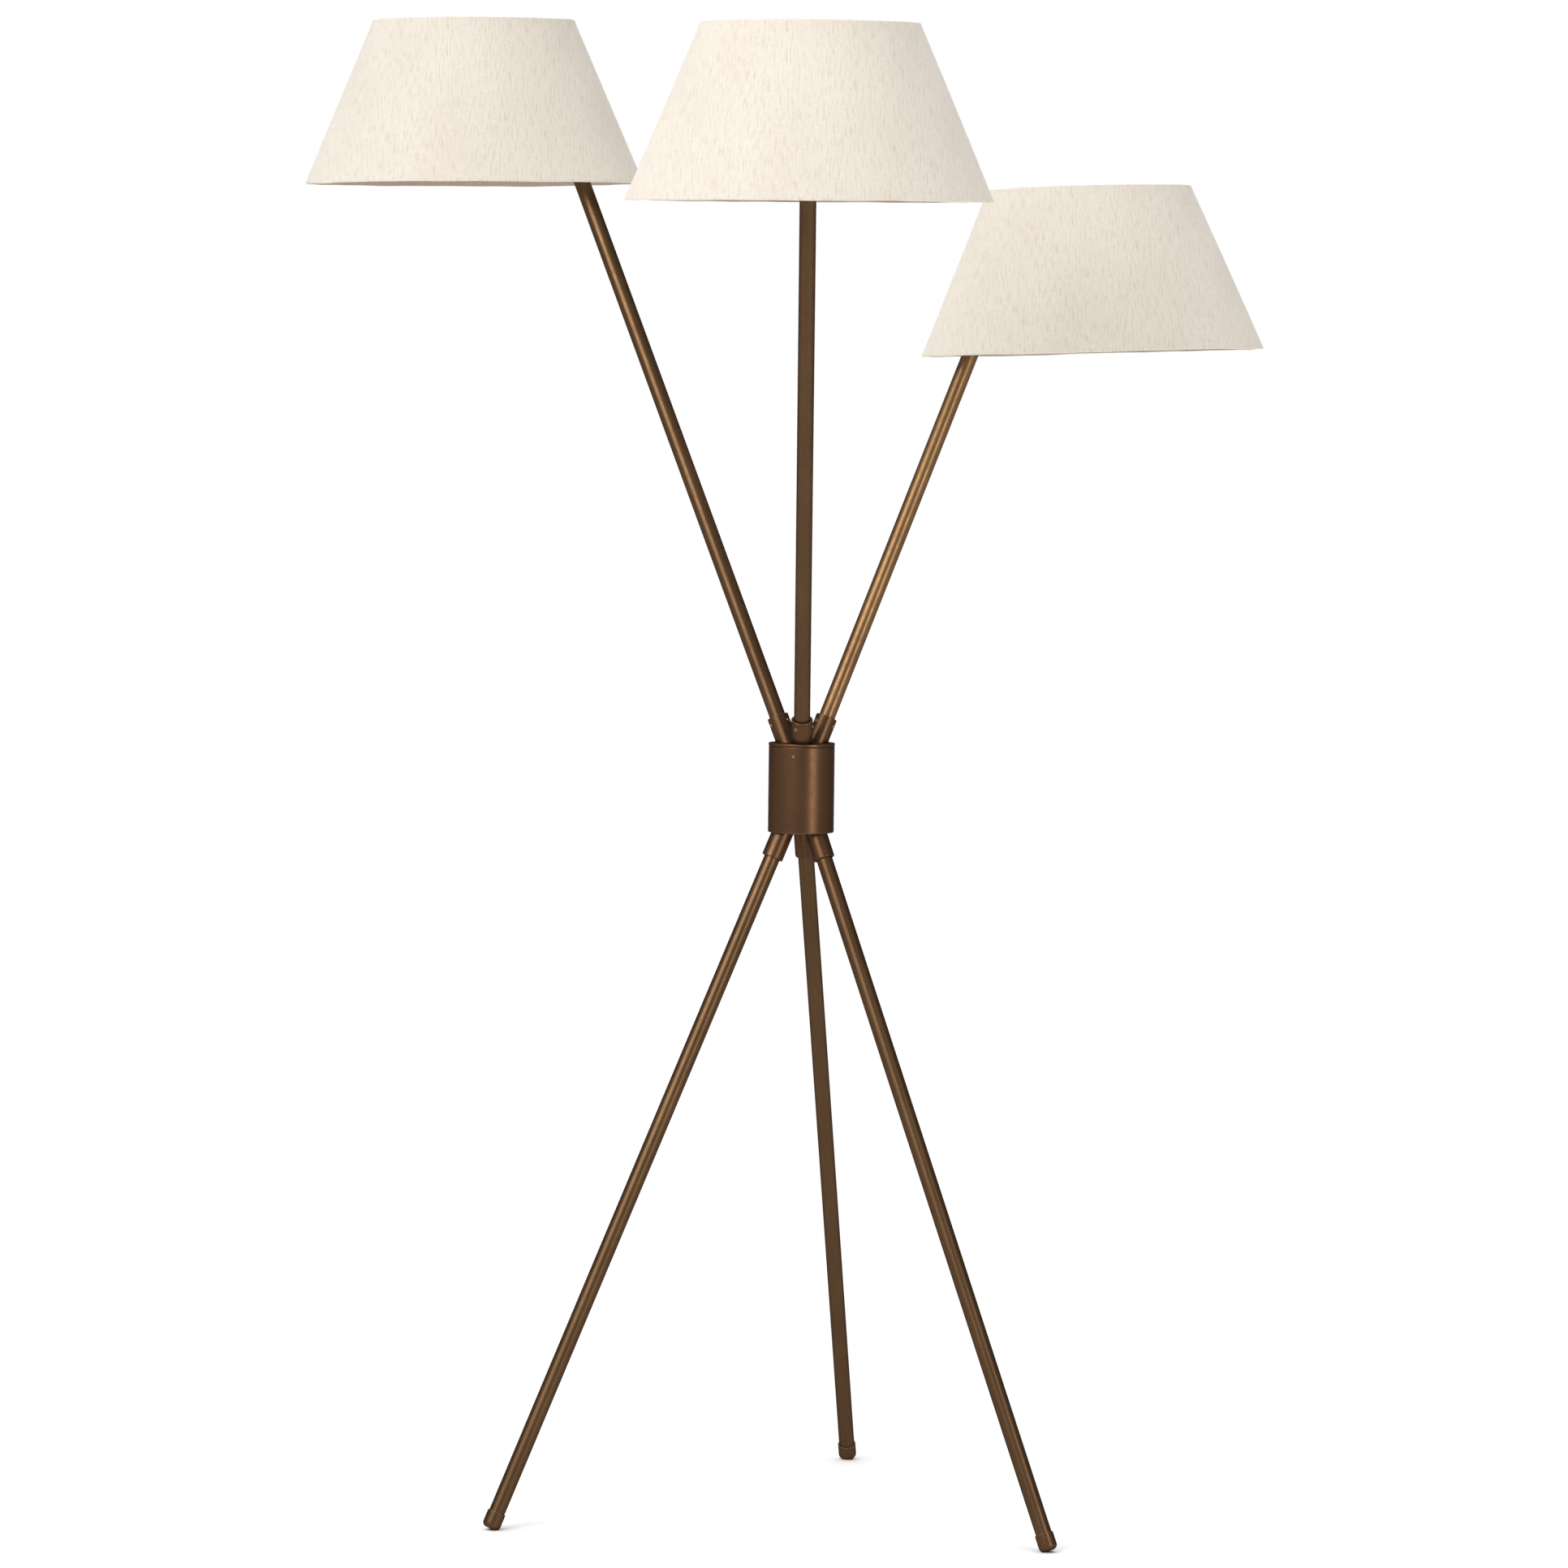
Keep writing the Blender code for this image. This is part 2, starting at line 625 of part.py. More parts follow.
def make_shade_frame(side, frame):
    """The fitter ring on the lamp holder, three wire spokes, and the wire ring in the shade's top hem."""
    ring_height = SHADE_BOTTOM + SHADE_HEIGHT - TOP_RING_DEPTH
    slope = (SHADE_BOTTOM_RADIUS - SHADE_TOP_RADIUS) / SHADE_HEIGHT
    wall_inside = SHADE_TOP_RADIUS + slope * TOP_RING_DEPTH - SHADE_WALL
    ring_radius = wall_inside - TOP_RING_WIRE * 1.1 - GAP
    section = arc((ring_radius, ring_height), TOP_RING_WIRE, pi / 2, pi / 2 - TURN, 5)[:-1]
    ring = as_part(turned(f"shade_frame_{side}", section, FINE, closed=True), BRASS, frame)

    fitter_bottom = FLANGE_TOP + GAP
    fitter_top = fitter_bottom + FITTER_THICKNESS
    fitter_profile = ring_profile(HOLDER_RADIUS + 2 * GAP, FITTER_OUTSIDE, fitter_bottom, fitter_top)
    fitter = as_cutter(turned(f"fitter_{side}", fitter_profile, SMALL, closed=True), frame)
    middle = (fitter_bottom + fitter_top) / 2
    points = [(SPOKE_START, 0, middle), (SPOKE_BEND, 0, middle), (ring_radius, 0, ring_height)]
    for i in range(SPOKES):
        spoke = as_cutter(wire(f"spoke_{side}_{i}", points, WIRE_RADIUS, 6), frame)
        spoke.matrix_basis = turn_z(radians(30) + i * TURN / SPOKES)
        join(ring, spoke)
    join(ring, fitter)


def make_shade(side, frame):
    """A cone of linen, open at both ends."""
    top = SHADE_BOTTOM + SHADE_HEIGHT
    profile = [
        (SHADE_TOP_RADIUS, top),
        (SHADE_BOTTOM_RADIUS, SHADE_BOTTOM),
        (SHADE_BOTTOM_RADIUS - SHADE_WALL, SHADE_BOTTOM),
        (SHADE_TOP_RADIUS - SHADE_WALL, top),
    ]
    as_part(turned(f"shade_{side}", profile, FINE, closed=True), LINEN, frame)


def make_arm(side, arm, lamp):
    axis = Matrix.Translation((0, 0, ARM_CROSSING)) @ turn_z(arm.azimuth) @ turn_y(arm.lean)
    collar_frame = axis_empty(f"collar_{side}_axis", lamp, axis)
    plate_distance = (HUB_TOP - ARM_CROSSING) / cos(arm.lean)
    collar, hole = make_collar(f"arm_collar_{side}", collar_frame, plate_distance)
    screw_distance = plate_distance + COLLAR_OUTSIDE - COLLAR_SCREW_DEPTH
    for i in range(COLLAR_SCREWS):
        around = arm.screws + i * TURN / COLLAR_SCREWS
        place = Matrix.Translation((0, 0, screw_distance)) @ turn_z(around) @ Z_TO_X
        name = f"arm_set_screw_{side}_{i + 1}"
        cut(collar, grub_screw(name, collar_frame, COLLAR_BORE, COLLAR_RADIUS + GRUB_PROUD, place))

    arm_frame = axis_empty(f"arm_{side}_axis", collar_frame, turn_z(arm.swivel))
    make_arm_tube(side, arm_frame, arm.reach)
    level = Matrix.Translation((0, 0, arm.reach)) @ turn_y(arm.tilt - arm.lean)
    head_frame = axis_empty(f"knuckle_{side}_axis", arm_frame, level)
    make_knuckle(side, head_frame)
    make_knuckle_screw(side, head_frame)
    make_link(side, head_frame)

    holder_frame = axis_empty(f"holder_{side}_axis", head_frame, Matrix.Translation((LINK_LENGTH, 0, 0)))
    make_socket_cap(side, holder_frame)
    make_socket_shell(side, holder_frame)
    make_socket_ring(side, holder_frame)
    make_bulb(side, holder_frame)
    make_shade_frame(side, holder_frame)
    make_shade(side, holder_frame)
    knob_place = Matrix.Translation((0, 0, KNOB_HEIGHT)) @ Z_TO_X
    make_switch_knob(side, axis_empty(f"knob_{side}_axis", holder_frame, knob_place))
    return hole


def centre_on_origin(lamp):
    """Moves the lamp so that the middle of its box is over the origin."""
    depsgraph = bpy.context.evaluated_depsgraph_get()
    points = []
    for obj in PARTS.objects:
        if obj.type == "MESH":
            evaluated = obj.evaluated_get(depsgraph)
            points += [evaluated.matrix_world @ vertex.co for vertex in evaluated.to_mesh().vertices]
            evaluated.to_mesh_clear()
    for k in range(2):
        values = [point[k] for point in points]
        lamp.location[k] -= (min(values) + max(values)) / 2


def make_lamp():
    lamp = axis_empty("lamp", None, Matrix.Identity(4))
    floor_cut = as_cutter(box("floor_cut", (-0.6, -0.6, -0.05), (0.6, 0.6, 0)), lamp)
    floor_holes = [make_leg(side, leg, lamp, floor_cut) for side, leg in LEGS.items()]
    lid_holes = [make_arm(side, arm, lamp) for side, arm in ARMS.items()]
    make_hub(lamp, floor_holes, lid_holes)
    make_terminal_block(lamp)
    centre_on_origin(lamp)


make_lamp()
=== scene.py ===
import json
from collections import namedtuple
from math import atan2, cos, hypot, pi, radians, sin

import bmesh
import bpy
import numpy as np
from mathutils import Matrix, Vector


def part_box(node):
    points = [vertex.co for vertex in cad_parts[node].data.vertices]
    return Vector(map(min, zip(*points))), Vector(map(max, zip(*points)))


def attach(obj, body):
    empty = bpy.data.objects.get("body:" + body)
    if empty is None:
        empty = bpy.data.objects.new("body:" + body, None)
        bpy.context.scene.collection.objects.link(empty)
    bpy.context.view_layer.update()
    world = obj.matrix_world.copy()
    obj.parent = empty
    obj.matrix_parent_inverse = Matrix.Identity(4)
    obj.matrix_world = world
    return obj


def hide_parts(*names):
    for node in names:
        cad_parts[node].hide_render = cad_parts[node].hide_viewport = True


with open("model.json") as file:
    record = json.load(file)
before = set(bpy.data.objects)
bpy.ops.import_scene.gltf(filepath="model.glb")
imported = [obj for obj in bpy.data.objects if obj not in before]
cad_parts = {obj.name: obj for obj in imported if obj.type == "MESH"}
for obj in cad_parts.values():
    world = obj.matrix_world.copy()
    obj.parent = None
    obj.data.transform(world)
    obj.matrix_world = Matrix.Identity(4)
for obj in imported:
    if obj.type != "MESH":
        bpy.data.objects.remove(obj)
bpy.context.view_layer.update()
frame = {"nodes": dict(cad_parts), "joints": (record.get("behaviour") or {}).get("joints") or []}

TURN = 2 * pi
SIDES = ("left", "front", "right")
LEGS = ("left", "right", "rear")

# Steps around a turned piece
WIDE, ROUND, SMALL, TINY, HEXAGONAL = 128, 72, 48, 32, 36
KNURLED, RIBBED_RING, RIBBED_KNOB = 144, 120, 96

# Sizes of the CAD parts that the detailed pieces follow, in metres. A bore is a radius too.
TUBE_RADIUS = 0.009525
TUBE_WALL = 0.0012
TUBE_BORE = TUBE_RADIUS - TUBE_WALL
COLLAR_RADIUS = 0.0127
COLLAR_BORE = 0.009825
COLLAR_HOLE = 0.0128  # radius of the hole in the hub that a collar stands in
CORD_HOLE = 0.005
CORD_BORE = 0.0032  # of the grommet in the cord's hole
GROMMET_RADIUS = 0.0047
GROMMET_FLANGE = 0.0068
HUB_RADIUS = 0.03897
HUB_WALL = 0.002
HUB_FLOOR = 0.003
LID_RADIUS = 0.0392
LID_THICKNESS = 0.0032
SPIGOT_RADIUS = 0.0366
SPIGOT_WALL = 0.002
TERMINAL_SPACING = 0.009
FOOT_LENGTH = 0.0205
FOOT_RADIUS = 0.0109
FOOT_EDGE = 0.006  # radius of the foot's rounded edge
EYE_RADIUS = 0.0085
EYE_HALF = 0.003  # half the thickness of the arm's eye
EAR_INSIDE = 0.0033  # from the middle of the fork to the faces of its ears
EAR_OUTSIDE = 0.0068
PIN_RADIUS = 0.0022
PIN_BORE = 0.0025
LINK_RADIUS = 0.00515
LINK_START = 0.0125
LINK_BEND = 0.014
LINK_TOP = 0.024
BLOCK_TOP = 0.018  # end of the knuckle's block, where the link tube leaves it
HOLDER_RADIUS = 0.0162
HOLDER_BORE = 0.0144
HOLDER_BOTTOM = 0.0335
HOLDER_FLOOR = 0.058  # under the bulb's base
HOLDER_TOP = 0.083
THREAD_BOTTOM = 0.0645
THREAD_PITCH = 0.0016
BULB_TOP = 0.1685
GLOBE_RADIUS = 0.03
GLOBE_NECK = 0.0145
BULB_PITCH = 0.0036
FITTER_BOTTOM, FITTER_TOP = 0.0643, 0.0663
SPOKE_BEND = 0.034  # from the holder's axis
SHADE_TOP_RADIUS = 0.1213
SHADE_BOTTOM_RADIUS = 0.205
SHADE_WALL = 0.0012
RING_WIRE = 0.0015  # radius of the wire in the top hem
SPOKE_WIRE = 0.00125
HOLE_REACH = 0.02  # how far a cutter reaches past a collar

# Edges that are rounded alike, by radius
FINE_EDGE, SOFT_EDGE = 0.0004, 0.0006
SMOOTH_ANGLE = radians(42)  # sharper edges are drawn as edges
STRAIGHT_ANGLE = radians(12)  # a profile's corners flatter than this aren't rounded
ON_AXIS = 1e-6

# Camera, from the front and a little below the two high shades
CAMERA_PLACE = (0.0101, -8.1183, 1.451)
CAMERA_DOWN = radians(4.059)
CAMERA_ROLL = radians(0.668)
CAMERA_LENS = 160.05

JOINTS = {joint["name"]: joint for joint in frame["joints"]}


# ---- Materials ----


WAVE_SCALE = 0.05 * TURN  # one band per unit, as the wave texture's phase is 20 times the place


class Look:
    """A material whose patterns lie in each part's own frame, in metres."""

    def __init__(self, name, metallic=0.0, **sockets):
        self.material = bpy.data.materials.new(name)
        self.material.use_nodes = True
        self.nodes = self.material.node_tree.nodes
        self.links = self.material.node_tree.links
        self.shader = self.nodes["Principled BSDF"]
        self.shader.inputs["Metallic"].default_value = metallic
        for socket, value in sockets.items():
            self.shader.inputs[socket.replace("_", " ")].default_value = value

    def node(self, kind, inputs, **settings):
        """A node of that kind; each input is a socket to link or a constant."""
        made = self.nodes.new(kind)
        for name, value in settings.items():
            setattr(made, name, value)
        for key, value in inputs.items():
            if isinstance(value, bpy.types.NodeSocket):
                self.links.new(value, made.inputs[key])
            else:
                made.inputs[key].default_value = value
        return made

    def attribute(self, name, output):
        """The socket of a mesh attribute."""
        return self.node("ShaderNodeAttribute", {}, attribute_name=name).outputs[output]

    def placed(self, scale):
        """The place in the part's own frame, scaled along each axis."""
        inputs = {"Vector": self.attribute("local", "Vector"), "Scale": scale}
        return self.node("ShaderNodeMapping", inputs, vector_type="POINT").outputs["Vector"]

    def noise(self, scale, detail=3.0, roughness=0.5):
        """Noise with that many waves per metre along each of the part's own axes."""
        inputs = {"Vector": self.placed(scale), "Scale": 1.0}
        inputs |= {"Detail": detail, "Roughness": roughness}
        return self.node("ShaderNodeTexNoise", inputs).outputs["Fac"]

    def threads(self, direction, scale, distortion):
        """Soft bands across a direction, with that many per metre along each axis."""
        inputs = {"Vector": self.placed(scale), "Scale": WAVE_SCALE}
        inputs |= {"Distortion": distortion, "Detail": 2.0}
        wave = self.node("ShaderNodeTexWave", inputs, bands_direction=direction)
        return wave.outputs["Fac"]

    def steps(self, value, low, high, to_low=0.0, to_high=1.0):
        """The value, with low to high spread over to_low to to_high and held beyond them."""
        inputs = {"Value": value, "From Min": low, "From Max": high}
        inputs |= {"To Min": to_low, "To Max": to_high}
        return self.node("ShaderNodeMapRange", inputs, clamp=True).outputs["Result"]

    def maths(self, operation, first, second):
        """Two values added or multiplied."""
        return self.node("ShaderNodeMath", {0: first, 1: second}, operation=operation).outputs[0]

    def mix(self, factor, first, second):
        """From the first colour to the second as the factor goes from 0 to 1."""
        inputs = {0: factor, 6: colour_of(first), 7: colour_of(second)}
        return self.node("ShaderNodeMix", inputs, data_type="RGBA").outputs[2]

    def between(self, pattern, dark, light):
        """From a dark colour to a light one, over the middle of a pattern's range."""
        return self.mix(self.steps(pattern, 0.3, 0.7), dark, light)

    def tint(self, colour, pattern, low, high, most, tint):
        """The colour, going towards a tint by at most that share where the pattern is high."""
        return self.mix(self.steps(pattern, low, high, 0.0, most), colour, tint)

    def finish(self, colour, roughness, height, depth):
        """Links the patterns to the shader; the height's range of 0 to 1 is depth metres."""
        bump = self.node("ShaderNodeBump", {"Height": height, "Distance": depth, "Strength": 1.0})
        self.links.new(colour, self.shader.inputs["Base Color"])
        self.links.new(roughness, self.shader.inputs["Roughness"])
        self.links.new(bump.outputs["Normal"], self.shader.inputs["Normal"])
        return self.material


def colour_of(value):
    """A socket as it is, or a colour with its alpha."""
    return value if isinstance(value, bpy.types.NodeSocket) else (*value, 1.0)


def bronze(name, grain, dark, light):
    """Antique bronze: a satin patina, softly mottled and rubbed a little brighter on its edges."""
    look = Look(name, metallic=0.82, Specular_Tint=(0.2, 0.15, 0.12, 1.0))
    clouds = look.noise((14, 14, 9), 4.0, 0.55)
    mottle = look.noise((170, 170, 120), 3.0, 0.6)
    brushed = look.noise(grain, 2.0, 0.5)
    body = look.between(clouds, dark, light)
    body = look.tint(body, mottle, 0.35, 0.75, 0.25, (0.052, 0.03, 0.018))
    body = look.tint(body, brushed, 0.35, 0.7, 0.1, (0.15, 0.08, 0.04))
    patches = look.steps(mottle, 0.3, 0.6, 0.08, 0.45)
    rubbed = look.maths("MULTIPLY", look.attribute("wear", "Fac"), patches)
    body = look.mix(rubbed, body, (0.24, 0.135, 0.07))
    rough = look.steps(look.maths("ADD", mottle, brushed), 0.7, 1.3, 0.33, 0.43)
    fine, coarse = look.maths("MULTIPLY", brushed, 0.4), look.maths("MULTIPLY", mottle, 0.6)
    height = look.maths("ADD", fine, coarse)
    return look.finish(body, rough, height, 0.00002)


def bright_metal(name, dark, light, tarnish, rough):
    """Plated or blackened steel, brass or wire, with fine turning marks and some tarnish."""
    look = Look(name, metallic=1.0)
    clouds = look.noise((90, 90, 90), 4.0, 0.6)
    marks = look.noise((60, 60, 4200), 2.0, 0.5)
    colour = look.between(clouds, dark, light)
    colour = look.tint(colour, clouds, 0.58, 0.75, 0.6, tarnish)
    colour = look.mix(look.maths("MULTIPLY", look.attribute("wear", "Fac"), 0.6), colour, light)
    roughness = look.steps(marks, 0.3, 0.7, rough - 0.06, rough + 0.08)
    return look.finish(colour, roughness, marks, 0.00002)


def linen(name, dark, light):
    """Linen: a plain weave with slubs in the warp, fainter ones in the weft, and flecks."""
    look = Look(name, Sheen_Weight=0.25, Sheen_Roughness=0.5, Specular_IOR_Level=0.2)
    warp, weft = look.threads("X", (1180, 60, 0), 1.6), look.threads("Y", (60, 1120, 0), 1.6)
    weave = look.maths("MULTIPLY", warp, weft)
    slubs = look.noise((440, 58, 0), 3.0, 0.6)
    pale_slubs = look.noise((480, 60, 7), 2.0, 0.5)
    weft_slubs = look.noise((90, 560, 3), 2.0, 0.5)
    flecks = look.noise((460, 210, 11), 2.0, 0.5)
    clouds = look.noise((9, 7, 0))
    colour = look.between(clouds, dark, light)
    colour = look.mix(look.steps(weave, 0.05, 0.6, 0.16, 0.0), colour, (0.56, 0.47, 0.37))
    colour = look.tint(colour, slubs, 0.5, 0.7, 0.42, (0.52, 0.43, 0.33))
    colour = look.tint(colour, pale_slubs, 0.52, 0.72, 0.4, light)
    colour = look.tint(colour, weft_slubs, 0.52, 0.72, 0.16, (0.58, 0.49, 0.39))
    colour = look.tint(colour, flecks, 0.655, 0.735, 0.42, (0.4, 0.29, 0.19))
    rough = look.steps(slubs, 0.3, 0.7, 0.86, 0.97)
    height = look.maths("ADD", weave, look.steps(slubs, 0.5, 0.72, 0.0, 0.9))
    height = look.maths("ADD", height, look.steps(weft_slubs, 0.55, 0.72, 0.0, 0.5))
    return look.finish(colour, rough, height, 0.00022)


def lining():
    """The smooth white film that stiffens the linen from inside."""
    look = Look("shade_lining", Specular_IOR_Level=0.4)
    clouds = look.noise((22, 16, 0))
    ghost = look.noise((620, 60, 0), 2.0, 0.5)
    colour = look.between(clouds, (0.8, 0.77, 0.71), (0.86, 0.83, 0.78))
    colour = look.tint(colour, ghost, 0.5, 0.75, 0.2, (0.7, 0.64, 0.56))
    return look.finish(colour, look.steps(clouds, 0.3, 0.7, 0.42, 0.6), ghost, 0.00004)


def moulded(name, dark, light, rough, depth):
    """Moulded plastic or glazed ceramic, with a fine grain in its surface."""
    look = Look(name)
    clouds = look.noise((60, 60, 60))
    grain = look.noise((1900, 1900, 1900), 2.0, 0.5)
    colour = look.between(clouds, dark, light)
    rubbed = look.maths("MULTIPLY", look.attribute("wear", "Fac"), 0.25)
    colour = look.mix(rubbed, colour, (0.35, 0.33, 0.3))
    roughness = look.steps(look.maths("ADD", clouds, grain), 0.7, 1.3, rough - 0.08, rough + 0.1)
    return look.finish(colour, roughness, grain, depth)


def opal_glass():
    """Frosted white glass, with the faint ripple of a blown bulb."""
    look = Look("opal_glass", Subsurface_Weight=0.15, Coat_Weight=0.4, Coat_Roughness=0.12)
    clouds = look.noise((45, 45, 30))
    frost = look.noise((1500, 1500, 1500), 2.0, 0.5)
    colour = look.between(clouds, (0.88, 0.87, 0.83), (0.93, 0.92, 0.89))
    return look.finish(colour, look.steps(frost, 0.3, 0.7, 0.24, 0.36), clouds, 0.00012)


def pale_floor():
    """A matt floor, nearly white."""
    look = Look("pale_floor", Specular_IOR_Level=0.1)
    clouds = look.noise((0.7, 0.7, 1))
    grain = look.noise((90, 90, 1), 2.0, 0.5)
    colour = look.between(clouds, (0.9, 0.9, 0.9), (0.93, 0.93, 0.93))
    return look.finish(colour, look.steps(grain, 0.3, 0.7, 0.85, 0.95), grain, 0.0001)


TUBE_GRAIN, TURNED_GRAIN = (2600, 2600, 34), (46, 46, 2400)  # drawn along Z, or turned around it
PATINA = (0.066, 0.034, 0.018), (0.09, 0.046, 0.024)
TUBE_PATINA = (0.072, 0.041, 0.02), (0.1, 0.057, 0.028)
RIGHT_ARM_PAINTED_HIGHLIGHT = (0.138, 0.078, 0.037), (0.19, 0.112, 0.053)  # the right arm's: the tube's bronze painted lighter, a painted highlight where its slant catches the light
BRONZE_TUBE = bronze("bronze_tube", TUBE_GRAIN, *TUBE_PATINA)
BRONZE_PAINTED_HIGHLIGHT = bronze("bronze_painted_highlight", TUBE_GRAIN, *RIGHT_ARM_PAINTED_HIGHLIGHT)
BRONZE_TURNED = bronze("bronze_turned", TURNED_GRAIN, *PATINA)
BRONZE_CAP = bronze("bronze_cap", TURNED_GRAIN, *TUBE_PATINA)
PLATED = bright_metal("nickel_plate", (0.5, 0.47, 0.42), (0.68, 0.64, 0.57), (0.28, 0.23, 0.18), 0.27)
STEEL = bright_metal("black_steel", (0.12, 0.1, 0.08), (0.26, 0.22, 0.17), (0.07, 0.055, 0.04), 0.28)
BRASS = bright_metal("aged_brass", (0.45, 0.3, 0.13), (0.62, 0.45, 0.22), (0.2, 0.12, 0.05), 0.32)
WIRE = bright_metal("lacquered_wire", (0.5, 0.41, 0.26), (0.68, 0.58, 0.38), (0.25, 0.18, 0.1), 0.34)
LINEN = linen("linen", (0.785, 0.714, 0.62), (0.845, 0.782, 0.696))
# Inside the hems the linen is painted darker: painted shade for the shadowed inside of the shade's
# rims
HEM_PAINTED_SHADE = linen("linen_hem_painted_shade", (0.33, 0.27, 0.21), (0.4, 0.33, 0.26))
LINING = lining()
GLASS = opal_glass()
PHENOLIC = moulded("phenolic", (0.016, 0.014, 0.013), (0.034, 0.03, 0.027), 0.42, 0.00003)
CERAMIC = moulded("ceramic", (0.7, 0.67, 0.6), (0.82, 0.8, 0.74), 0.3, 0.00002)

# The record's slot of each piece's first material
SLOTS = {BRASS: "brass", WIRE: "wire", LINEN: "linen", GLASS: "glass"}
SLOTS |= {PHENOLIC: "phenolic", CERAMIC: "ceramic", PLATED: "plated", STEEL: "plated"}
SLOTS |= dict.fromkeys((BRONZE_TUBE, BRONZE_PAINTED_HIGHLIGHT, BRONZE_TURNED, BRONZE_CAP), "bronze")


# ---- Shapes ----

# A point of a profile; its form scales its radius by the angle
Point = namedtuple("Point", "radius height wear form", defaults=(0.0, None))


def add_object(name, data):
    """An object in the scene, with that mesh, light or camera."""
    obj = bpy.data.objects.new(name, data)
    bpy.context.scene.collection.objects.link(obj)
    return obj


def set_local(mesh, places):
    """Keeps each vertex's place in its part's own frame, where the materials look for it."""
    local = mesh.attributes.new("local", "FLOAT_VECTOR", "POINT")
    local.data.foreach_set("vector", np.ravel(places))


class Shape:
    """
    Closed shells gathered into one mesh.
    Each vertex keeps its place in its part's own frame, and its wear.
    """

    def __init__(self):
        self.points, self.local, self.wear, self.faces, self.slots = [], [], [], [], []

    def add(self, shell, place, slot=0):
        """Adds a shell drawn in the frame at place, with the material of that slot."""
        points, faces, wear = shell
        first = len(self.points)
        self.points += [place @ Vector(point) for point in points]
        self.local += points
        self.wear += wear
        self.faces += [[first + i for i in face] for face in faces]
        self.slots += [slot] * len(faces)
        return self

    def piece(self, name, materials, body, *nodes):
        """The mesh as a piece that rides on a body and stands for CAD nodes."""
        mesh = bpy.data.meshes.new(name)
        mesh.from_pydata(self.points, [], self.faces)
        mesh.polygons.foreach_set("material_index", self.slots)
        set_local(mesh, self.local)
        mesh.attributes.new("wear", "FLOAT", "POINT").data.foreach_set("value", self.wear)
        face_outwards(mesh)
        obj = add_object(name, mesh)
        for material in materials:
            mesh.materials.append(material)
        smooth(obj)
        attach(obj, body)
        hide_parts(*nodes)
        return obj


def smooth(obj):
    """Smooth shading, apart from the sharp edges."""
    obj.data.shade_smooth()
    obj.data.set_sharp_from_angle(angle=SMOOTH_ANGLE)
    obj.modifiers.new("Even normals", "WEIGHTED_NORMAL").keep_sharp = True


def face_outwards(mesh):
    """Turns every face of closed shells outwards."""
    bm = bmesh.new()
    bm.from_mesh(mesh)
    bmesh.ops.recalc_face_normals(bm, faces=bm.faces)
    bm.to_mesh(mesh)
    bm.free()


def bent(start, corner, end, steps):
    """Points of a curve from start to end that turns inside their corner."""
    shares = (k / steps for k in range(steps + 1))
    return [start * (1 - t) ** 2 + corner * 2 * t * (1 - t) + end * t**2 for t in shares]


def rounded(corners, radius, closed=False, steps=3):
    """A profile of (radius, height) corners, rounded. Outer corners wear, and inner ones don't."""
    count = len(corners)
    shifted = corners[1:] + corners[:1]
    area = sum(a[0] * b[1] - b[0] * a[1] for a, b in zip(corners, shifted))
    made = []
    for i, corner in enumerate(corners):
        here = Vector(corner)
        if not closed and i in (0, count - 1):
            made.append(Point(*here))
            continue
        before = Vector(corners[i - 1]) - here
        after = Vector(corners[(i + 1) % count]) - here
        if pi - before.angle(after) < STRAIGHT_ANGLE:
            made.append(Point(*here))
            continue
        reach = min(radius, 0.45 * before.length, 0.45 * after.length)
        start, end = here + before.normalized() * reach, here + after.normalized() * reach
        outer = (before.y * after.x - before.x * after.y) * area > 0
        for k, place in enumerate(bent(start, here, end, steps)):
            made.append(Point(*place, 1.0 if outer and 0 < k < steps else 0.0))
    return made


def lathe(profile, steps, closed=False):
    """A profile of Points, or of tuples like them, turned about Z."""
    points, wear, rows = [], [], []
    for radius, height, worn, form in (Point(*row) for row in profile):
        if radius < ON_AXIS:
            rows.append([len(points)] * steps)
            points.append((0.0, 0.0, height))
            wear.append(worn)
            continue
        rows.append(range(len(points), len(points) + steps))
        for k in range(steps):
            angle = TURN * k / steps
            r = radius * form(angle) if form else radius
            points.append((r * cos(angle), r * sin(angle), height))
            wear.append(worn)
    pairs = list(zip(rows, rows[1:]))
    if closed:
        pairs.append((rows[-1], rows[0]))
    faces = []
    for upper, lower in pairs:
        for k in range(steps):
            n = (k + 1) % steps
            face = [upper[k], lower[k], lower[n], upper[n]]
            faces.append(list(dict.fromkeys(face)))
    return points, [face for face in faces if len(face) > 2], wear


def turned(corners, rounding, steps, closed=False):
    """A turned shell from (radius, height) corners, rounded by that radius."""
    return lathe(rounded(corners, rounding, closed), steps, closed)


def ribs(count, depth):
    """A form with that many soft ribs, as deep as that share of the radius."""
    return lambda angle: 1 - depth * abs(sin(count * angle / 2)) ** 1.5


def thread(radius, depth, top, length, pitch, per_turn, worn):
    """Points down a thread from its top, as a wave that many steps to a turn. Its crests wear."""
    rows = []
    for i in range(int(length / pitch * per_turn)):
        root = 0.5 + 0.5 * cos(TURN * i / per_turn)
        rows.append((radius - depth * root, top - i * pitch / per_turn, worn * (1 - root)))
    return rows


def hexagon(angle):
    """The form of a hexagon; the radius is that of its corners."""
    return cos(pi / 6) / cos((angle + pi / 6) % (pi / 3) - pi / 6)


def bands(rows, count, first=0, closed=False):
    """Faces between rows of points that are numbered in turn from first, count to a row."""
    faces = []
    for i in range(rows if closed else rows - 1):
        near, far = first + i * count, first + (i + 1) % rows * count
        for k in range(count):
            n = (k + 1) % count
            faces.append([near + k, near + n, far + n, far + k])
    return faces


def capped(rows, count, first=0):
    """The same bands, with a face over the first row and one over the last."""
    ends = [[first + row * count + k for k in range(count)] for row in (0, rows - 1)]
    return bands(rows, count, first) + ends


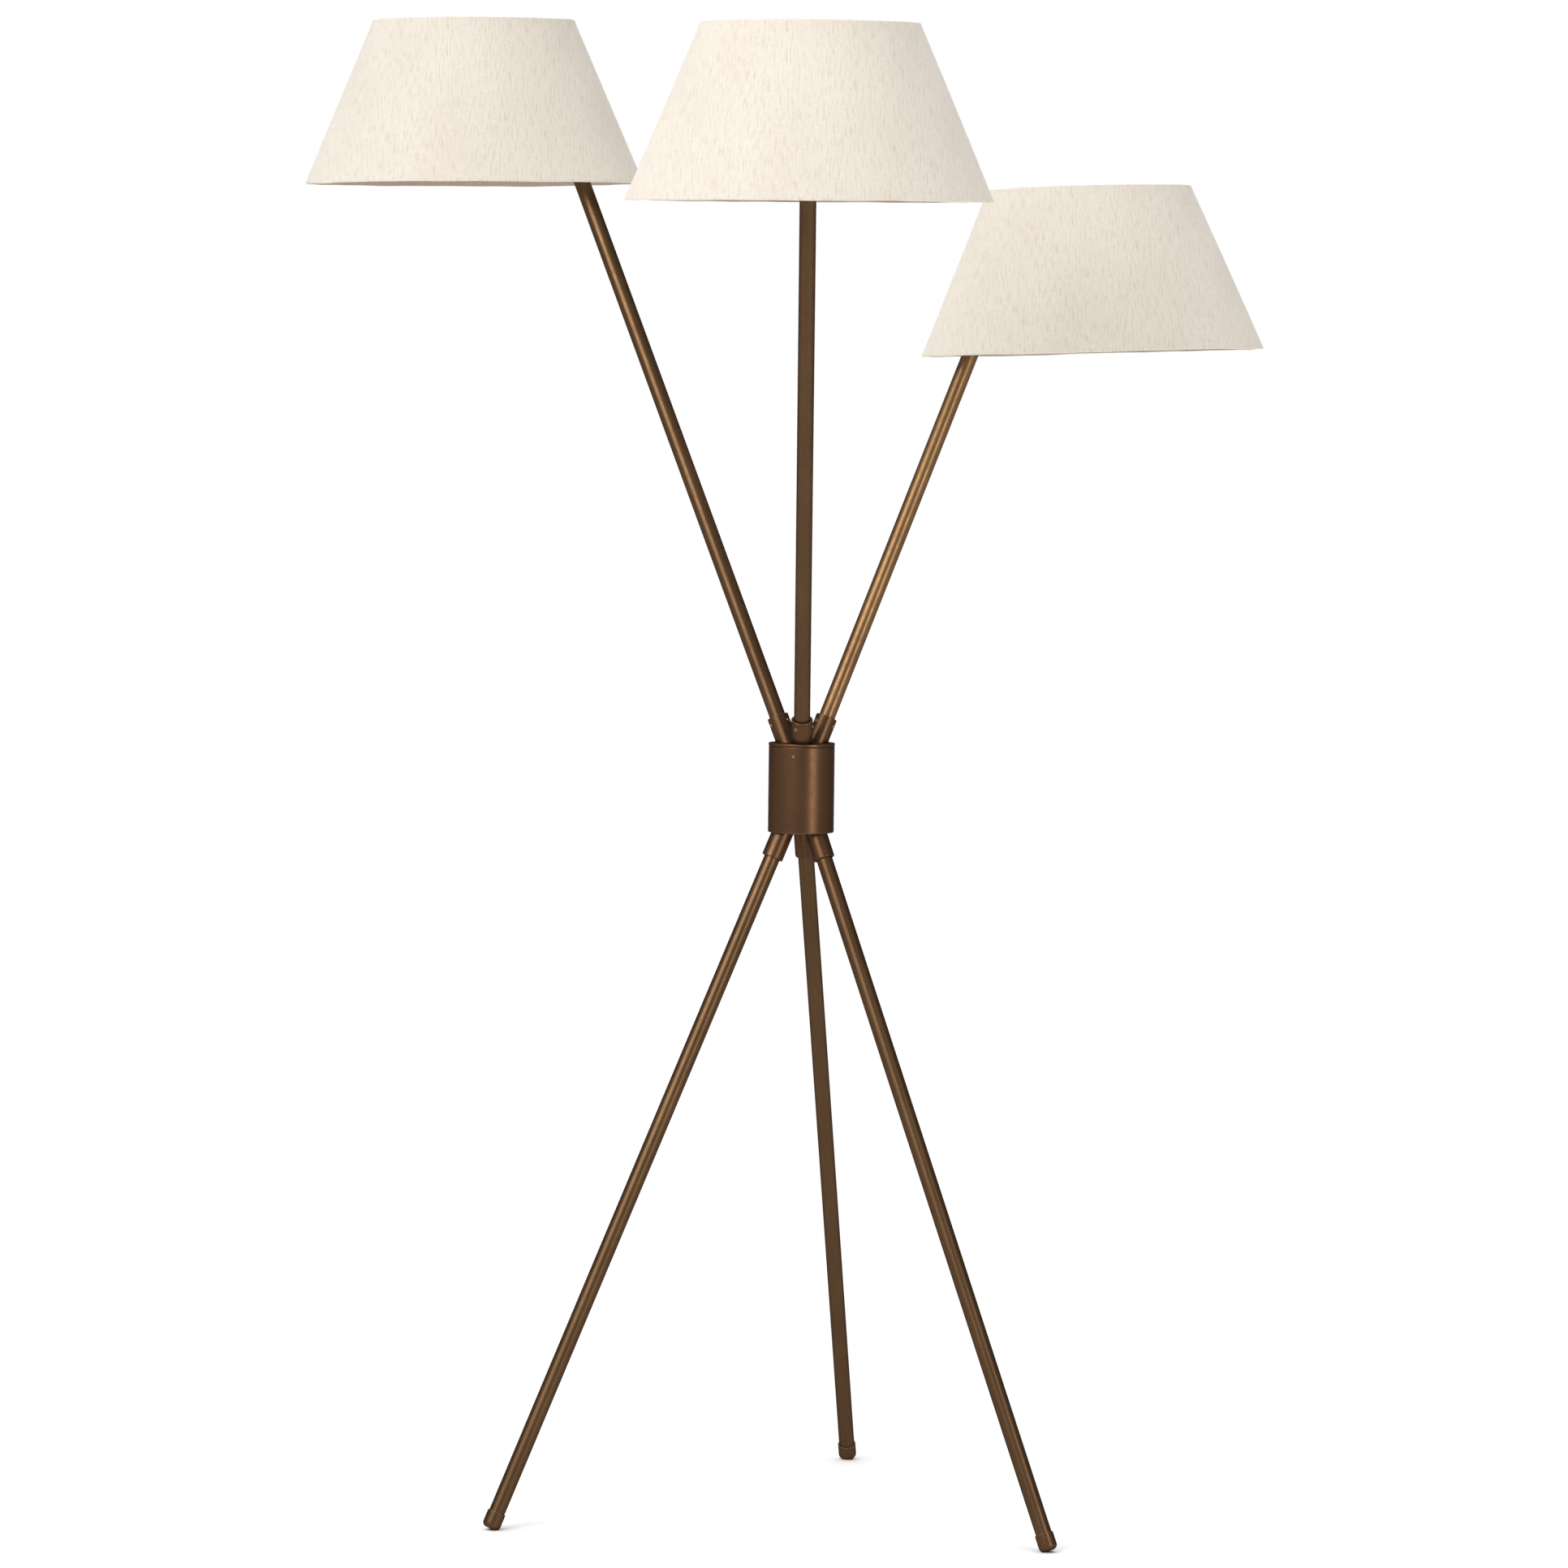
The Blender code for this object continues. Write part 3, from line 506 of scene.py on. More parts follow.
def sweep(path, radius, sides):
    """A round wire along (x, z) points, with closed ends."""
    points = []
    last = len(path) - 1
    sideways = Vector((0, 1, 0))
    for i, (x, z) in enumerate(path):
        ahead, behind = path[min(i + 1, last)], path[max(i - 1, 0)]
        along = Vector((ahead[0] - behind[0], 0, ahead[1] - behind[1])).normalized()
        across = sideways.cross(along)
        for k in range(sides):
            angle = TURN * k / sides
            offset = across * cos(angle) + sideways * sin(angle)
            points.append(tuple(Vector((x, 0, z)) + offset * radius))
    return points, capped(len(path), sides), [0.0] * len(points)


def angles(start, end, steps):
    """The angles at the ends of those even steps from start to end."""
    return [start + (end - start) * i / steps for i in range(steps + 1)]


def arc(centre, radius, start, end, steps):
    """Points of an arc in a plane, from one angle to another."""
    turns = angles(start, end, steps)
    return [(centre[0] + radius * cos(a), centre[1] + radius * sin(a)) for a in turns]


def prism(outline, low, high, edge):
    """A plate with the outline in X and Y, from low to high, its rims rounded by edge."""
    count = len(outline)
    corners = [Vector(point) for point in outline]
    offsets = []
    for i, here in enumerate(corners):
        into = (here - corners[i - 1]).normalized()
        out = (corners[(i + 1) % count] - here).normalized()
        first, second = Vector((-into.y, into.x)), Vector((-out.y, out.x))
        offsets.append((first + second) / (1 + first.dot(second)))
    rows = [(low, edge, 0.0), (low + 0.3 * edge, 0.3 * edge, 1.0), (low + edge, 0.0, 0.0)]
    rows += [(high - edge, 0.0, 0.0), (high - 0.3 * edge, 0.3 * edge, 1.0), (high, edge, 0.0)]
    points, wear = [], []
    for height, inset, worn in rows:
        for here, offset in zip(corners, offsets):
            points.append((*(here + offset * inset), height))
            wear.append(worn)
    return points, capped(len(rows), count), wear


def carve(obj, cutters):
    """Cuts closed shapes out of a piece."""
    obj.modifiers.clear()
    tools = []
    for points, faces, _ in cutters:
        mesh = bpy.data.meshes.new("cutter")
        mesh.from_pydata(points, [], faces)
        face_outwards(mesh)
        tool = add_object("cutter", mesh)
        hole = obj.modifiers.new("Hole", "BOOLEAN")
        hole.object = tool
        hole.solver = "EXACT"
        tools.append(tool)
    evaluated = obj.evaluated_get(bpy.context.evaluated_depsgraph_get())
    obj.data = bpy.data.meshes.new_from_object(evaluated)
    obj.modifiers.clear()
    for tool in tools:
        bpy.data.objects.remove(tool, do_unlink=True)
    smooth(obj)


# ---- Places, from the CAD nodes and the joints ----


def shift(x=0.0, y=0.0, z=0.0):
    return Matrix.Translation((x, y, z))


def turn(angle, axis):
    return Matrix.Rotation(angle, 4, axis)


Z_TO_X = turn(pi / 2, "Y")
Z_TO_Y = turn(-pi / 2, "X")


def frame_from(origin, x, y):
    """The frame at origin with those X and Y axes."""
    x, y = Vector(x).normalized(), Vector(y).normalized()
    columns = Matrix((x, y, x.cross(y))).transposed()
    return Matrix.Translation(origin) @ columns.to_4x4()


def frame_along(origin, z):
    """The frame at origin with that Z axis and a level Y axis."""
    z = Vector(z).normalized()
    y = Vector((0, 0, 1)).cross(z).normalized()
    return frame_from(origin, y.cross(z), y)


def points_of(node):
    """The node's vertices, each place once."""
    points = np.array([vertex.co for vertex in frame["nodes"][node].data.vertices])
    return np.unique(points.round(6), axis=0)


def tube_frame(node):
    """The frame of a straight tube: from its upper end, with Z along it."""
    points = points_of(node)
    along = np.linalg.svd(points - points.mean(0), full_matrices=False)[2][0]
    if along[2] > 0:
        along = -along
    distance = points @ along
    upper = points[distance < distance.min() + 0.001].mean(0)
    lower = points[distance > distance.max() - 0.001].mean(0)
    return frame_along(upper, lower - upper)


def reach_of(node, place):
    """The lowest and highest corner of a CAD node in a frame."""
    back = np.array(place.inverted())
    points = points_of(node) @ back[:3, :3].T + back[:3, 3]
    return Vector(points.min(0)), Vector(points.max(0))


def heights_of(node, place):
    """The lowest and highest Z of a CAD node in a frame."""
    low, high = reach_of(node, place)
    return low.z, high.z


def outward_from(axis, node):
    """The frame across an axis at a CAD node's middle height, with Z pointing out to it."""
    low, high = reach_of(node, axis)
    middle = (low + high) / 2
    return axis @ shift(z=middle.z) @ turn(atan2(middle.y, middle.x), "Z") @ Z_TO_X


def joint_of(name):
    """A joint's place and axis."""
    return Vector(JOINTS[name]["pos_m"]), Vector(JOINTS[name]["axis"])


HUB_AXIS = Matrix.Translation((*joint_of("left_arm_turn")[0].xy, 0))


# ---- Stand ----


def sleeve(radius, bore, start, end, rounding, steps):
    """A turned sleeve, open at both ends. It is drawn from its start to its end and back."""
    corners = [(radius, start), (radius, end), (bore, end), (bore, start)]
    return turned(corners, rounding, steps, True)


def make_collar(name, place, node):
    """A sleeve around a tube, with a lightly rounded lip."""
    low, high = heights_of(node, place)
    shell = sleeve(COLLAR_RADIUS, COLLAR_BORE, high, low, 0.0007, ROUND)
    Shape().add(shell, place).piece(name, [BRONZE_TURNED], "stand", node)


def screw_shell(length, radius=0.0024, socket=0.0013, depth=0.0018):
    """A set screw that stands on Z = 0, with a hexagon socket of that depth in its end."""
    profile = [
        (0, length - depth), (socket, length - depth, 0, hexagon),
        (socket, length - 0.0002, 0, hexagon), (socket * 1.15, length, 1.0),
        (radius * 0.74, length, 1.0), (radius, length - 0.0007), (radius, 0), (0, 0),
    ]
    return lathe(profile, HEXAGONAL)


def make_set_screw(name, axis, node):
    """A set screw that points out from an axis, where its CAD node is."""
    facing = outward_from(axis, node)
    inner, outer = heights_of(node, facing)
    place = facing @ shift(z=inner)
    shell = screw_shell(outer - inner + 0.0001)
    Shape().add(shell, place).piece(name, [STEEL], "stand", node)


def make_foot(name, place, node):
    """A turned cap on a leg's end, worn flat where it stands on the floor, with a bright lip."""
    start, _ = heights_of(node, place)
    end = start + FOOT_LENGTH
    edge_middle = (FOOT_RADIUS - FOOT_EDGE, end - FOOT_EDGE)
    edge = arc(edge_middle, FOOT_EDGE, pi / 2, 0, 12)
    lip = [edge[-1], (FOOT_RADIUS, start), (TUBE_RADIUS + 0.0003, start), (0, start + 0.001)]
    lip_wear = 2.2  # beyond 1, so this edge is drawn brighter still
    profile = [(0, end)] + edge
    profile += [(p.radius, p.height, lip_wear * p.wear) for p in rounded(lip, SOFT_EDGE)[1:]]
    points, faces, wear = lathe(profile, ROUND)
    floor_gap, scuffed, scuff_wear = 0.00002, 0.0008, 0.8
    grounded = []
    for i, point in enumerate(points):
        world = place @ Vector(point)
        world.z = max(world.z, floor_gap)
        grounded.append(tuple(place.inverted() @ world))
        if world.z < scuffed:
            wear[i] = max(wear[i], scuff_wear)
    Shape().add((grounded, faces, wear), place).piece(name, [BRONZE_CAP], "stand", node)


def make_bushing(place, leg):
    """The grommet in a hole in the back of the rear leg, where the cord comes out."""
    facing = outward_from(place, "cord_bushing")
    inner, outer = heights_of("cord_bushing", facing)
    flange = TUBE_RADIUS + 0.0002
    corners = [
        (CORD_BORE, outer), (GROMMET_FLANGE - 0.001, outer),
        (GROMMET_FLANGE, flange + 0.0004), (GROMMET_FLANGE, flange),
        (GROMMET_RADIUS, flange), (GROMMET_RADIUS, inner), (CORD_BORE, inner),
    ]
    grommet = Shape().add(turned(corners, 0.0005, SMALL, True), facing)
    grommet.piece("cord_grommet", [PHENOLIC], "stand", "cord_bushing")
    carve(leg, [rod(facing, CORD_HOLE, 0.4 * TUBE_RADIUS, 1.4 * TUBE_RADIUS)])


def make_leg(side):
    """One leg with its collar and foot. Returns the cutter of its hole in the hub's floor."""
    tube = tube_frame(f"leg_{side}")
    _, length = heights_of(f"leg_{side}", tube)
    shell = sleeve(TUBE_RADIUS, TUBE_BORE, 0.0, length, FINE_EDGE, ROUND)
    leg = Shape().add(shell, tube).piece(f"leg_{side}_tube", [BRONZE_TUBE], "stand", f"leg_{side}")
    make_collar(f"leg_{side}_collar", tube, f"leg_collar_{side}")
    make_foot(f"leg_{side}_foot", tube, f"foot_{side}")
    if side == "rear":
        make_bushing(tube, leg)
    low, high = heights_of(f"leg_collar_{side}", tube)
    return rod(tube, COLLAR_HOLE, low - HOLE_REACH, high)


def rod(place, radius, start, end):
    """A round cutter along a frame's Z, in the lamp's own frame."""
    profile = [(0, start), (radius, start), (radius, end), (0, end)]
    points, faces, wear = lathe(profile, ROUND)
    return [tuple(place @ Vector(point)) for point in points], faces, wear


def make_hub(floor_holes, lid_holes):
    """A spun cup with a lid, and the shadow gap between them."""
    bottom, wall_top = (corner.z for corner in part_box("hub_body"))
    floor = bottom + HUB_FLOOR
    inside = HUB_RADIUS - HUB_WALL
    corners = [(0, floor), (inside, floor), (inside, wall_top), (HUB_RADIUS, wall_top)]
    corners += [(HUB_RADIUS, bottom), (0, bottom)]
    cup = Shape().add(turned(corners, 0.0015, WIDE), HUB_AXIS)
    carve(cup.piece("hub_cup", [BRONZE_TURNED], "stand", "hub_body"), floor_holes)

    spigot_bottom, top = (corner.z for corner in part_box("hub_cap"))
    under = top - LID_THICKNESS
    spigot_inside = SPIGOT_RADIUS - SPIGOT_WALL
    corners = [(0, top), (LID_RADIUS, top), (LID_RADIUS, under), (SPIGOT_RADIUS, under)]
    corners += [(SPIGOT_RADIUS, spigot_bottom), (spigot_inside, spigot_bottom)]
    corners += [(spigot_inside, under), (0, under)]
    lid = Shape().add(turned(corners, 0.0008, WIDE), HUB_AXIS)
    carve(lid.piece("hub_lid", [BRONZE_TURNED], "stand", "hub_cap"), lid_holes)
    make_set_screw("hub_lid_screw", HUB_AXIS, "hub_cap_screw")


def make_terminals():
    """The ceramic block inside the hub, with a brass screw over each wire way."""
    low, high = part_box("terminal_block")
    middle = HUB_AXIS.inverted() @ ((low + high) / 2)
    place = HUB_AXIS @ turn(atan2(middle.y, middle.x), "Z")
    low, high = reach_of("terminal_block", place)
    corners = [(low.x, low.y), (high.x, low.y), (high.x, high.y), (low.x, high.y)]
    block = Shape().add(prism(corners, low.z, high.z, 0.0008), place)
    head = screw_shell(length=0.002, radius=0.002, socket=0.001, depth=0.0008)
    for i in (-1, 0, 1):
        height = (low.z + high.z) / 2 + i * TERMINAL_SPACING
        screw = place @ shift(low.x - 0.0006, 0, height) @ Z_TO_X
        block.add(head, screw @ turn(pi, "X") @ shift(z=-0.001), 1)
    block.piece("terminal_strip", [CERAMIC, BRASS], "stand", "terminal_block")


# ---- Arms ----


def make_arm(side, place, reach):
    """A tube with a turned plug at its upper end, and a flat eye on the plug."""
    start, _ = heights_of(f"arm_{side}", place)
    crown, shoulder, rim, tail = (reach - below for below in (0.0096, 0.0135, 0.0163, 0.024))
    plug_radius, plug_tail = TUBE_RADIUS - 0.0003, TUBE_BORE - 0.0001
    plug = [(0, crown), (0.006, crown), (plug_radius, shoulder), (plug_radius, rim)]
    plug += [(plug_tail, rim), (plug_tail, tail), (0, tail)]
    neck = [(-0.0052, -0.0125), (-0.0036, -0.004), (0.0036, -0.004), (0.0052, -0.0125)]
    neck_half = EYE_HALF - 0.0002
    pivot = place @ shift(z=reach)
    shape = Shape()
    shape.add(sleeve(TUBE_RADIUS, TUBE_BORE, reach - 0.016, start, FINE_EDGE, ROUND), place)
    shape.add(turned(plug, SOFT_EDGE, SMALL), place, 1)
    eye = sleeve(EYE_RADIUS, PIN_BORE, EYE_HALF, -EYE_HALF, 0.0005, SMALL)
    shape.add(eye, pivot @ Z_TO_Y, 1)
    shape.add(prism(neck, -neck_half, neck_half, FINE_EDGE), pivot @ turn(pi / 2, "X"), 1)
    # The right arm's tube takes the bronze painted lighter, as a painted highlight
    tube = BRONZE_PAINTED_HIGHLIGHT if side == "right" else BRONZE_TUBE
    shape.piece(f"arm_{side}_tube", [tube, BRONZE_TURNED], f"{side}_arm", f"arm_{side}")


def make_knuckle(side, place):
    """The fork that tilts on the arm's eye: two ears, their webs and the link tube's block."""
    shape = Shape()
    web = [(0.004, -0.0062), (0.012, -0.005), (0.012, 0.005), (0.004, 0.0062)]
    for end in (-1, 1):
        low, high = sorted((end * EAR_INSIDE, end * EAR_OUTSIDE))
        ear = sleeve(EYE_RADIUS, PIN_BORE, high, low, SOFT_EDGE, SMALL)
        shape.add(ear, place @ Z_TO_Y)
        web_low, web_high = sorted((end * (EAR_INSIDE + 0.0001), end * (EAR_OUTSIDE - 0.0004)))
        plate = prism(web, web_low, web_high, FINE_EDGE)
        shape.add(plate, place @ turn(pi / 2, "X") @ turn(pi, "X"))
    radius, bottom, chamfer = 0.0075, 0.0092, 0.015
    block = [(0, bottom), (radius, bottom), (radius, chamfer), (0.0062, BLOCK_TOP), (0, BLOCK_TOP)]
    shape.add(turned(block, 0.0008, SMALL), place @ Z_TO_X)
    shape.piece(f"knuckle_{side}_fork", [BRONZE_TURNED], f"{side}_head", f"knuckle_{side}")


def make_thumb_screw(side, place):
    """A knurled brass thumb screw through the fork and the eye, with a peened end."""
    start, end = EAR_OUTSIDE + 0.0003, EAR_OUTSIDE + 0.0063
    peened = -EAR_OUTSIDE
    knurl = ribs(36, 0.05)
    profile = [
        (0, end - 0.0007), (0.0045, end - 0.0006), (0.0052, end), (0.007, end, 1.0),
        (0.008, end - 0.0009, 1.0, knurl), (0.008, start + 0.0016, 0.4, knurl),
        (0.007, start + 0.0008), (0.0045, start + 0.0008), (0.0045, start),
        (PIN_RADIUS, start), (PIN_RADIUS, peened - 0.0002), (0.0016, peened - 0.0008, 1.0),
        (0, peened - 0.001),
    ]
    screw = Shape().add(lathe(profile, KNURLED), place @ Z_TO_Y)
    screw.piece(f"thumb_screw_{side}", [BRASS], f"{side}_thumb_screw", f"knuckle_screw_{side}")


def make_link(side, place, length):
    """The bent tube from the knuckle to the lamp holder."""
    bend = arc((length - LINK_BEND, LINK_BEND), LINK_BEND, -pi / 2, 0, 16)
    path = [(LINK_START, 0.0)] + bend + [(length, LINK_TOP)]
    shape = Shape().add(sweep(path, LINK_RADIUS, SMALL), place)
    radius, end = 0.0068, BLOCK_TOP + 0.0025
    lock_nut = [(0.0, BLOCK_TOP), (radius, BLOCK_TOP), (radius, end), (0.0, end)]
    shape.add(turned(lock_nut, SOFT_EDGE, SMALL), place @ Z_TO_X)
    shape.piece(f"link_{side}_tube", [BRONZE_TUBE], f"{side}_head", f"link_{side}")


def make_socket_cap(side, place):
    """The lower brass cup of the lamp holder, with a beaded rim and a set screw in its neck."""
    neck_bottom, rim_top = 0.016, 0.04
    bead, neck, neck_bore, inside = 0.0174, 0.0074, 0.00545, 0.0163
    corners = [(bead, rim_top), (bead, 0.0385), (0.0169, 0.0378), (0.0172, 0.0325)]
    corners += [(0.0155, 0.0272), (0.0092, 0.0228), (neck, 0.021), (neck, neck_bottom)]
    corners += [(neck_bore, neck_bottom), (neck_bore, 0.0222), (0.0086, 0.0239)]
    corners += [(0.0148, 0.0281), (inside, 0.0328), (inside, rim_top)]
    shape = Shape().add(turned(corners, 0.001, ROUND, True), place)
    screw = place @ shift(z=0.0185) @ turn(pi / 2, "Z") @ Z_TO_X @ shift(z=0.006)
    shell = screw_shell(length=0.0026, radius=0.0017, socket=0.0008, depth=0.001)
    shape.add(shell, screw, 1)
    shape.piece(f"socket_cup_{side}", [BRASS, STEEL], f"{side}_head", f"socket_cap_{side}")


def make_socket_shell(side, place, knob_height):
    """The lamp holder's phenolic body: a flange, and above it a thread for the shade's ring."""
    well = [(0, HOLDER_FLOOR), (HOLDER_BORE, HOLDER_FLOOR), (HOLDER_BORE, HOLDER_TOP)]
    profile = rounded(well, FINE_EDGE)
    profile[-1] = (HOLDER_BORE, HOLDER_TOP - FINE_EDGE)
    profile.append((HOLDER_BORE + FINE_EDGE, HOLDER_TOP))
    profile.append((HOLDER_RADIUS - 0.0009, HOLDER_TOP, 1.0))
    top = HOLDER_TOP - 0.0006
    profile += thread(HOLDER_RADIUS, 0.0008, top, top - THREAD_BOTTOM, THREAD_PITCH, 8, 0.6)
    flange_radius = 0.02
    flange = [(HOLDER_RADIUS, 0.0642), (HOLDER_RADIUS, 0.064), (flange_radius, 0.064)]
    flange += [(flange_radius, 0.062), (HOLDER_RADIUS, 0.0608)]
    flange += [(HOLDER_RADIUS, HOLDER_BOTTOM), (0, HOLDER_BOTTOM)]
    profile += rounded(flange, 0.0005)[1:]
    shape = Shape().add(lathe(profile, ROUND), place)
    root, end = 0.015, 0.01685
    bushing = [(0, root), (0.0036, root), (0.0036, end), (0.0021, end)]
    bushing += [(0.0021, root + 0.0005), (0, root + 0.0005)]
    shape.add(turned(bushing, 0.0003, TINY), place @ shift(z=knob_height) @ Z_TO_X, 1)
    shape.piece(f"socket_body_{side}", [PHENOLIC, BRASS], f"{side}_head", f"socket_shell_{side}")


def make_shade_ring(side, place):
    """The ribbed ring that clamps the shade's fitter."""
    low, high = heights_of(f"socket_ring_{side}", place)
    bore = HOLDER_RADIUS + 0.0003
    grip = ribs(30, 0.045)
    profile = [
        (bore, high), (0.0204, high, 0.7), (0.0215, high - 0.0008, 1.0, grip),
        (0.0215, low + 0.0016, 0.5, grip), (0.0222, low + 0.0011), (0.0222, low),
        (bore, low),
    ]
    ring = Shape().add(lathe(profile, RIBBED_RING, True), place)
    ring.piece(f"shade_ring_{side}", [PHENOLIC], f"{side}_head", f"socket_ring_{side}")


def make_knob(side, place):
    """The ribbed switch knob, on its shaft."""
    grip = ribs(12, 0.11)
    profile = [
        (0, 0.0289), (0.003, 0.0292), (0.0037, 0.0291, 1.0), (0.0048, 0.0279, 1.0, grip),
        (0.0048, 0.0196, 0.3, grip), (0.0044, 0.0184, 0, grip), (0.0036, 0.0172),
        (0.0018, 0.0172), (0.0018, 0.0158), (0, 0.0158),
    ]
    knob = Shape().add(lathe(profile, RIBBED_KNOB), place)
    knob.piece(f"knob_{side}", [PHENOLIC], f"{side}_switch", f"switch_knob_{side}")


def make_bulb(side, place):
    """A pear-shaped opal bulb and its threaded metal base, which rides with it."""
    shoulder = radians(-26)  # where the globe gives way to the curve down to the neck
    globe = arc((0, BULB_TOP - GLOBE_RADIUS), GLOBE_RADIUS, pi / 2, shoulder, 22)
    profile = [(0, BULB_TOP)] + globe[1:]
    neck_height = 0.0885
    start, end = Vector(profile[-1]), Vector((GLOBE_NECK, neck_height))
    first = start + Vector((sin(shoulder), -cos(shoulder))) * 0.014
    second = end + Vector((0, 0.012))
    steps = 12
    for i in range(1, steps + 1):
        t = i / steps
        upper = (1 - t) ** 3 * start + 3 * t * (1 - t) ** 2 * first
        profile.append(tuple(upper + 3 * t * t * (1 - t) * second + t**3 * end))
    glass_end = 0.0868  # inside the base
    profile += [(GLOBE_NECK - 0.0006, glass_end), (0, glass_end)]
    glass = Shape().add(lathe(profile, ROUND), place)
    glass.piece(f"bulb_{side}_globe", [GLASS], f"{side}_head", f"bulb_{side}")

    base = [(0, neck_height), (GLOBE_NECK - 0.0004, neck_height)]
    base += [(GLOBE_NECK + 0.0001, 0.0872, 1.0), (0.0136, 0.0852)]
    base += thread(0.0132, 0.0007, 0.0838, 0.019, BULB_PITCH, 10, 1.0)
    base += [(0.0105, 0.0622), (0.0045, 0.0602), (0.004, 0.0586), (0, 0.0583)]
    Shape().add(lathe(base, SMALL), place).piece(f"bulb_{side}_base", [PLATED], f"{side}_head")


def make_shade_frame(side, place):
    """The fitter ring, three bent spokes and the wire ring in the shade's top hem."""
    low, high = reach_of(f"shade_frame_{side}", place)
    ring_height = high.z - RING_WIRE
    ring_radius = (high.y - low.y) / 2 - RING_WIRE
    shape = Shape()
    shape.add(sleeve(0.0245, 0.0168, FITTER_TOP, FITTER_BOTTOM, 0.0005, ROUND), place)
    wire = arc((ring_radius, ring_height), RING_WIRE, pi / 2, pi / 2 - TURN, 14)[:-1]
    shape.add(lathe(wire, WIDE, True), place)
    middle = (FITTER_BOTTOM + FITTER_TOP) / 2
    bend = Vector((SPOKE_BEND, middle))
    rise = Vector((ring_radius - SPOKE_BEND, ring_height - middle)).normalized()
    reach = 0.006
    path = [(0.0205, middle), (0.024, middle)]
    path += bent(bend - Vector((reach, 0)), bend, bend + rise * reach, 8)
    path.append((ring_radius, ring_height))
    spoke = sweep(path, SPOKE_WIRE, 16)
    for i in range(3):
        shape.add(spoke, place @ turn(radians(30) + i * TURN / 3, "Z"))
    shape.piece(f"shade_{side}_frame", [WIRE], f"{side}_head", f"shade_frame_{side}")


# ---- Shades ----

HEM_FOLD = 0.009  # how far the linen turns back inside
LINEN_DEPTH = 0.0005
BOTTOM_ROLL = 0.0017  # radius of the rolled hem around the lower edge
TOP_ROLL = 0.0026
AROUND = 240
SEAM_GAP = 0.0005  # angle left on each side of the flat cut's ends, so that no column is stretched
SEAM_WIDTH = 0.011
SEAM_ROWS = 30
SEAM_PATTERN = 0.7  # puts the seam's pattern beyond the flat cut's own


def cone(low, high):
    """The shade's outer cone: its slant, its run and rise for each metre down it, and its apex."""
    height = high - low
    slant = hypot(height, SHADE_BOTTOM_RADIUS - SHADE_TOP_RADIUS)
    run = (SHADE_BOTTOM_RADIUS - SHADE_TOP_RADIUS) / slant
    return slant, run, height / slant, SHADE_TOP_RADIUS / run


def hem_section(slant):
    """
    (down, out, material) points once around the wall: down the slope from the top edge, and out
    from the linen's face. The materials are the linen, the lining and the inside of the hems,
    which is painted darker as painted shade.
    """
    linen, lined, hem = range(3)
    inside = -SHADE_WALL
    fold = inside - LINEN_DEPTH
    step = 0.0004
    rows = 34
    start, length = TOP_ROLL + 0.0015, slant - TOP_ROLL - BOTTOM_ROLL - 0.003
    section = [(start + length * i / rows, 0.0, linen) for i in range(rows + 1)]
    down, out = slant - BOTTOM_ROLL, step - BOTTOM_ROLL
    for a in angles(pi / 2, -pi / 2, 8):
        material = linen if a > -0.3 else hem  # the roll turns inwards there
        section.append((down + BOTTOM_ROLL * cos(a), out + BOTTOM_ROLL * sin(a), material))
    section += [(slant - 0.0045, fold, hem), (slant - HEM_FOLD, fold, hem)]
    section.append((slant - HEM_FOLD - step, inside, lined))
    rows = 12
    for i in range(1, rows):
        section.append((slant - HEM_FOLD - (slant - 2 * HEM_FOLD) * i / rows, inside, lined))
    section += [(HEM_FOLD + step, inside, hem), (HEM_FOLD, fold, hem)]
    section.append((TOP_ROLL + 0.0034, fold, hem))
    for a in angles(-pi / 2, pi / 2, 10):
        place = TOP_ROLL - TOP_ROLL * cos(a), step - TOP_ROLL + TOP_ROLL * sin(a)
        section.append((*place, linen))
    return section


def unevenness(angle, seed):
    """A hand-made hem's waver around the shade, from -1 to 1."""
    waves = ((3, 0.3), (5, 0.25), (8, 0.2), (13, 0.13), (21, 0.12))
    return sum(share * sin(count * angle + seed * (2.1 + count)) for count, share in waves)


def shade_point(angle, down, out, cloth, seed):
    """A point of the shade. Its edges waver, its wall bulges a little, and both fade away."""
    slant, run, rise, top = cloth
    share = down / slant
    low, high = share**6, (1 - share) ** 6
    bottom_waver, top_waver, outward_waver = 0.0009, 0.0005, 0.0007
    down += bottom_waver * low * unevenness(angle, seed)
    down += top_waver * high * unevenness(angle, seed + 4)
    bulge = 0.0004 * sin(3 * angle + seed) + 0.00025 * sin(7 * angle + 2 * seed)
    out += outward_waver * low * unevenness(angle, seed + 2) + bulge * sin(pi * share)
    radius = SHADE_TOP_RADIUS + run * down + rise * out
    height = top - rise * down + run * out
    return radius * cos(angle), radius * sin(angle), height


def flat_point(angle, down, out, apex, run):
    """The same point on the flat cut: across it, along it, and in from its face."""
    distance = apex + down
    spread = angle * run
    return distance * sin(spread), apex - distance * cos(spread), out


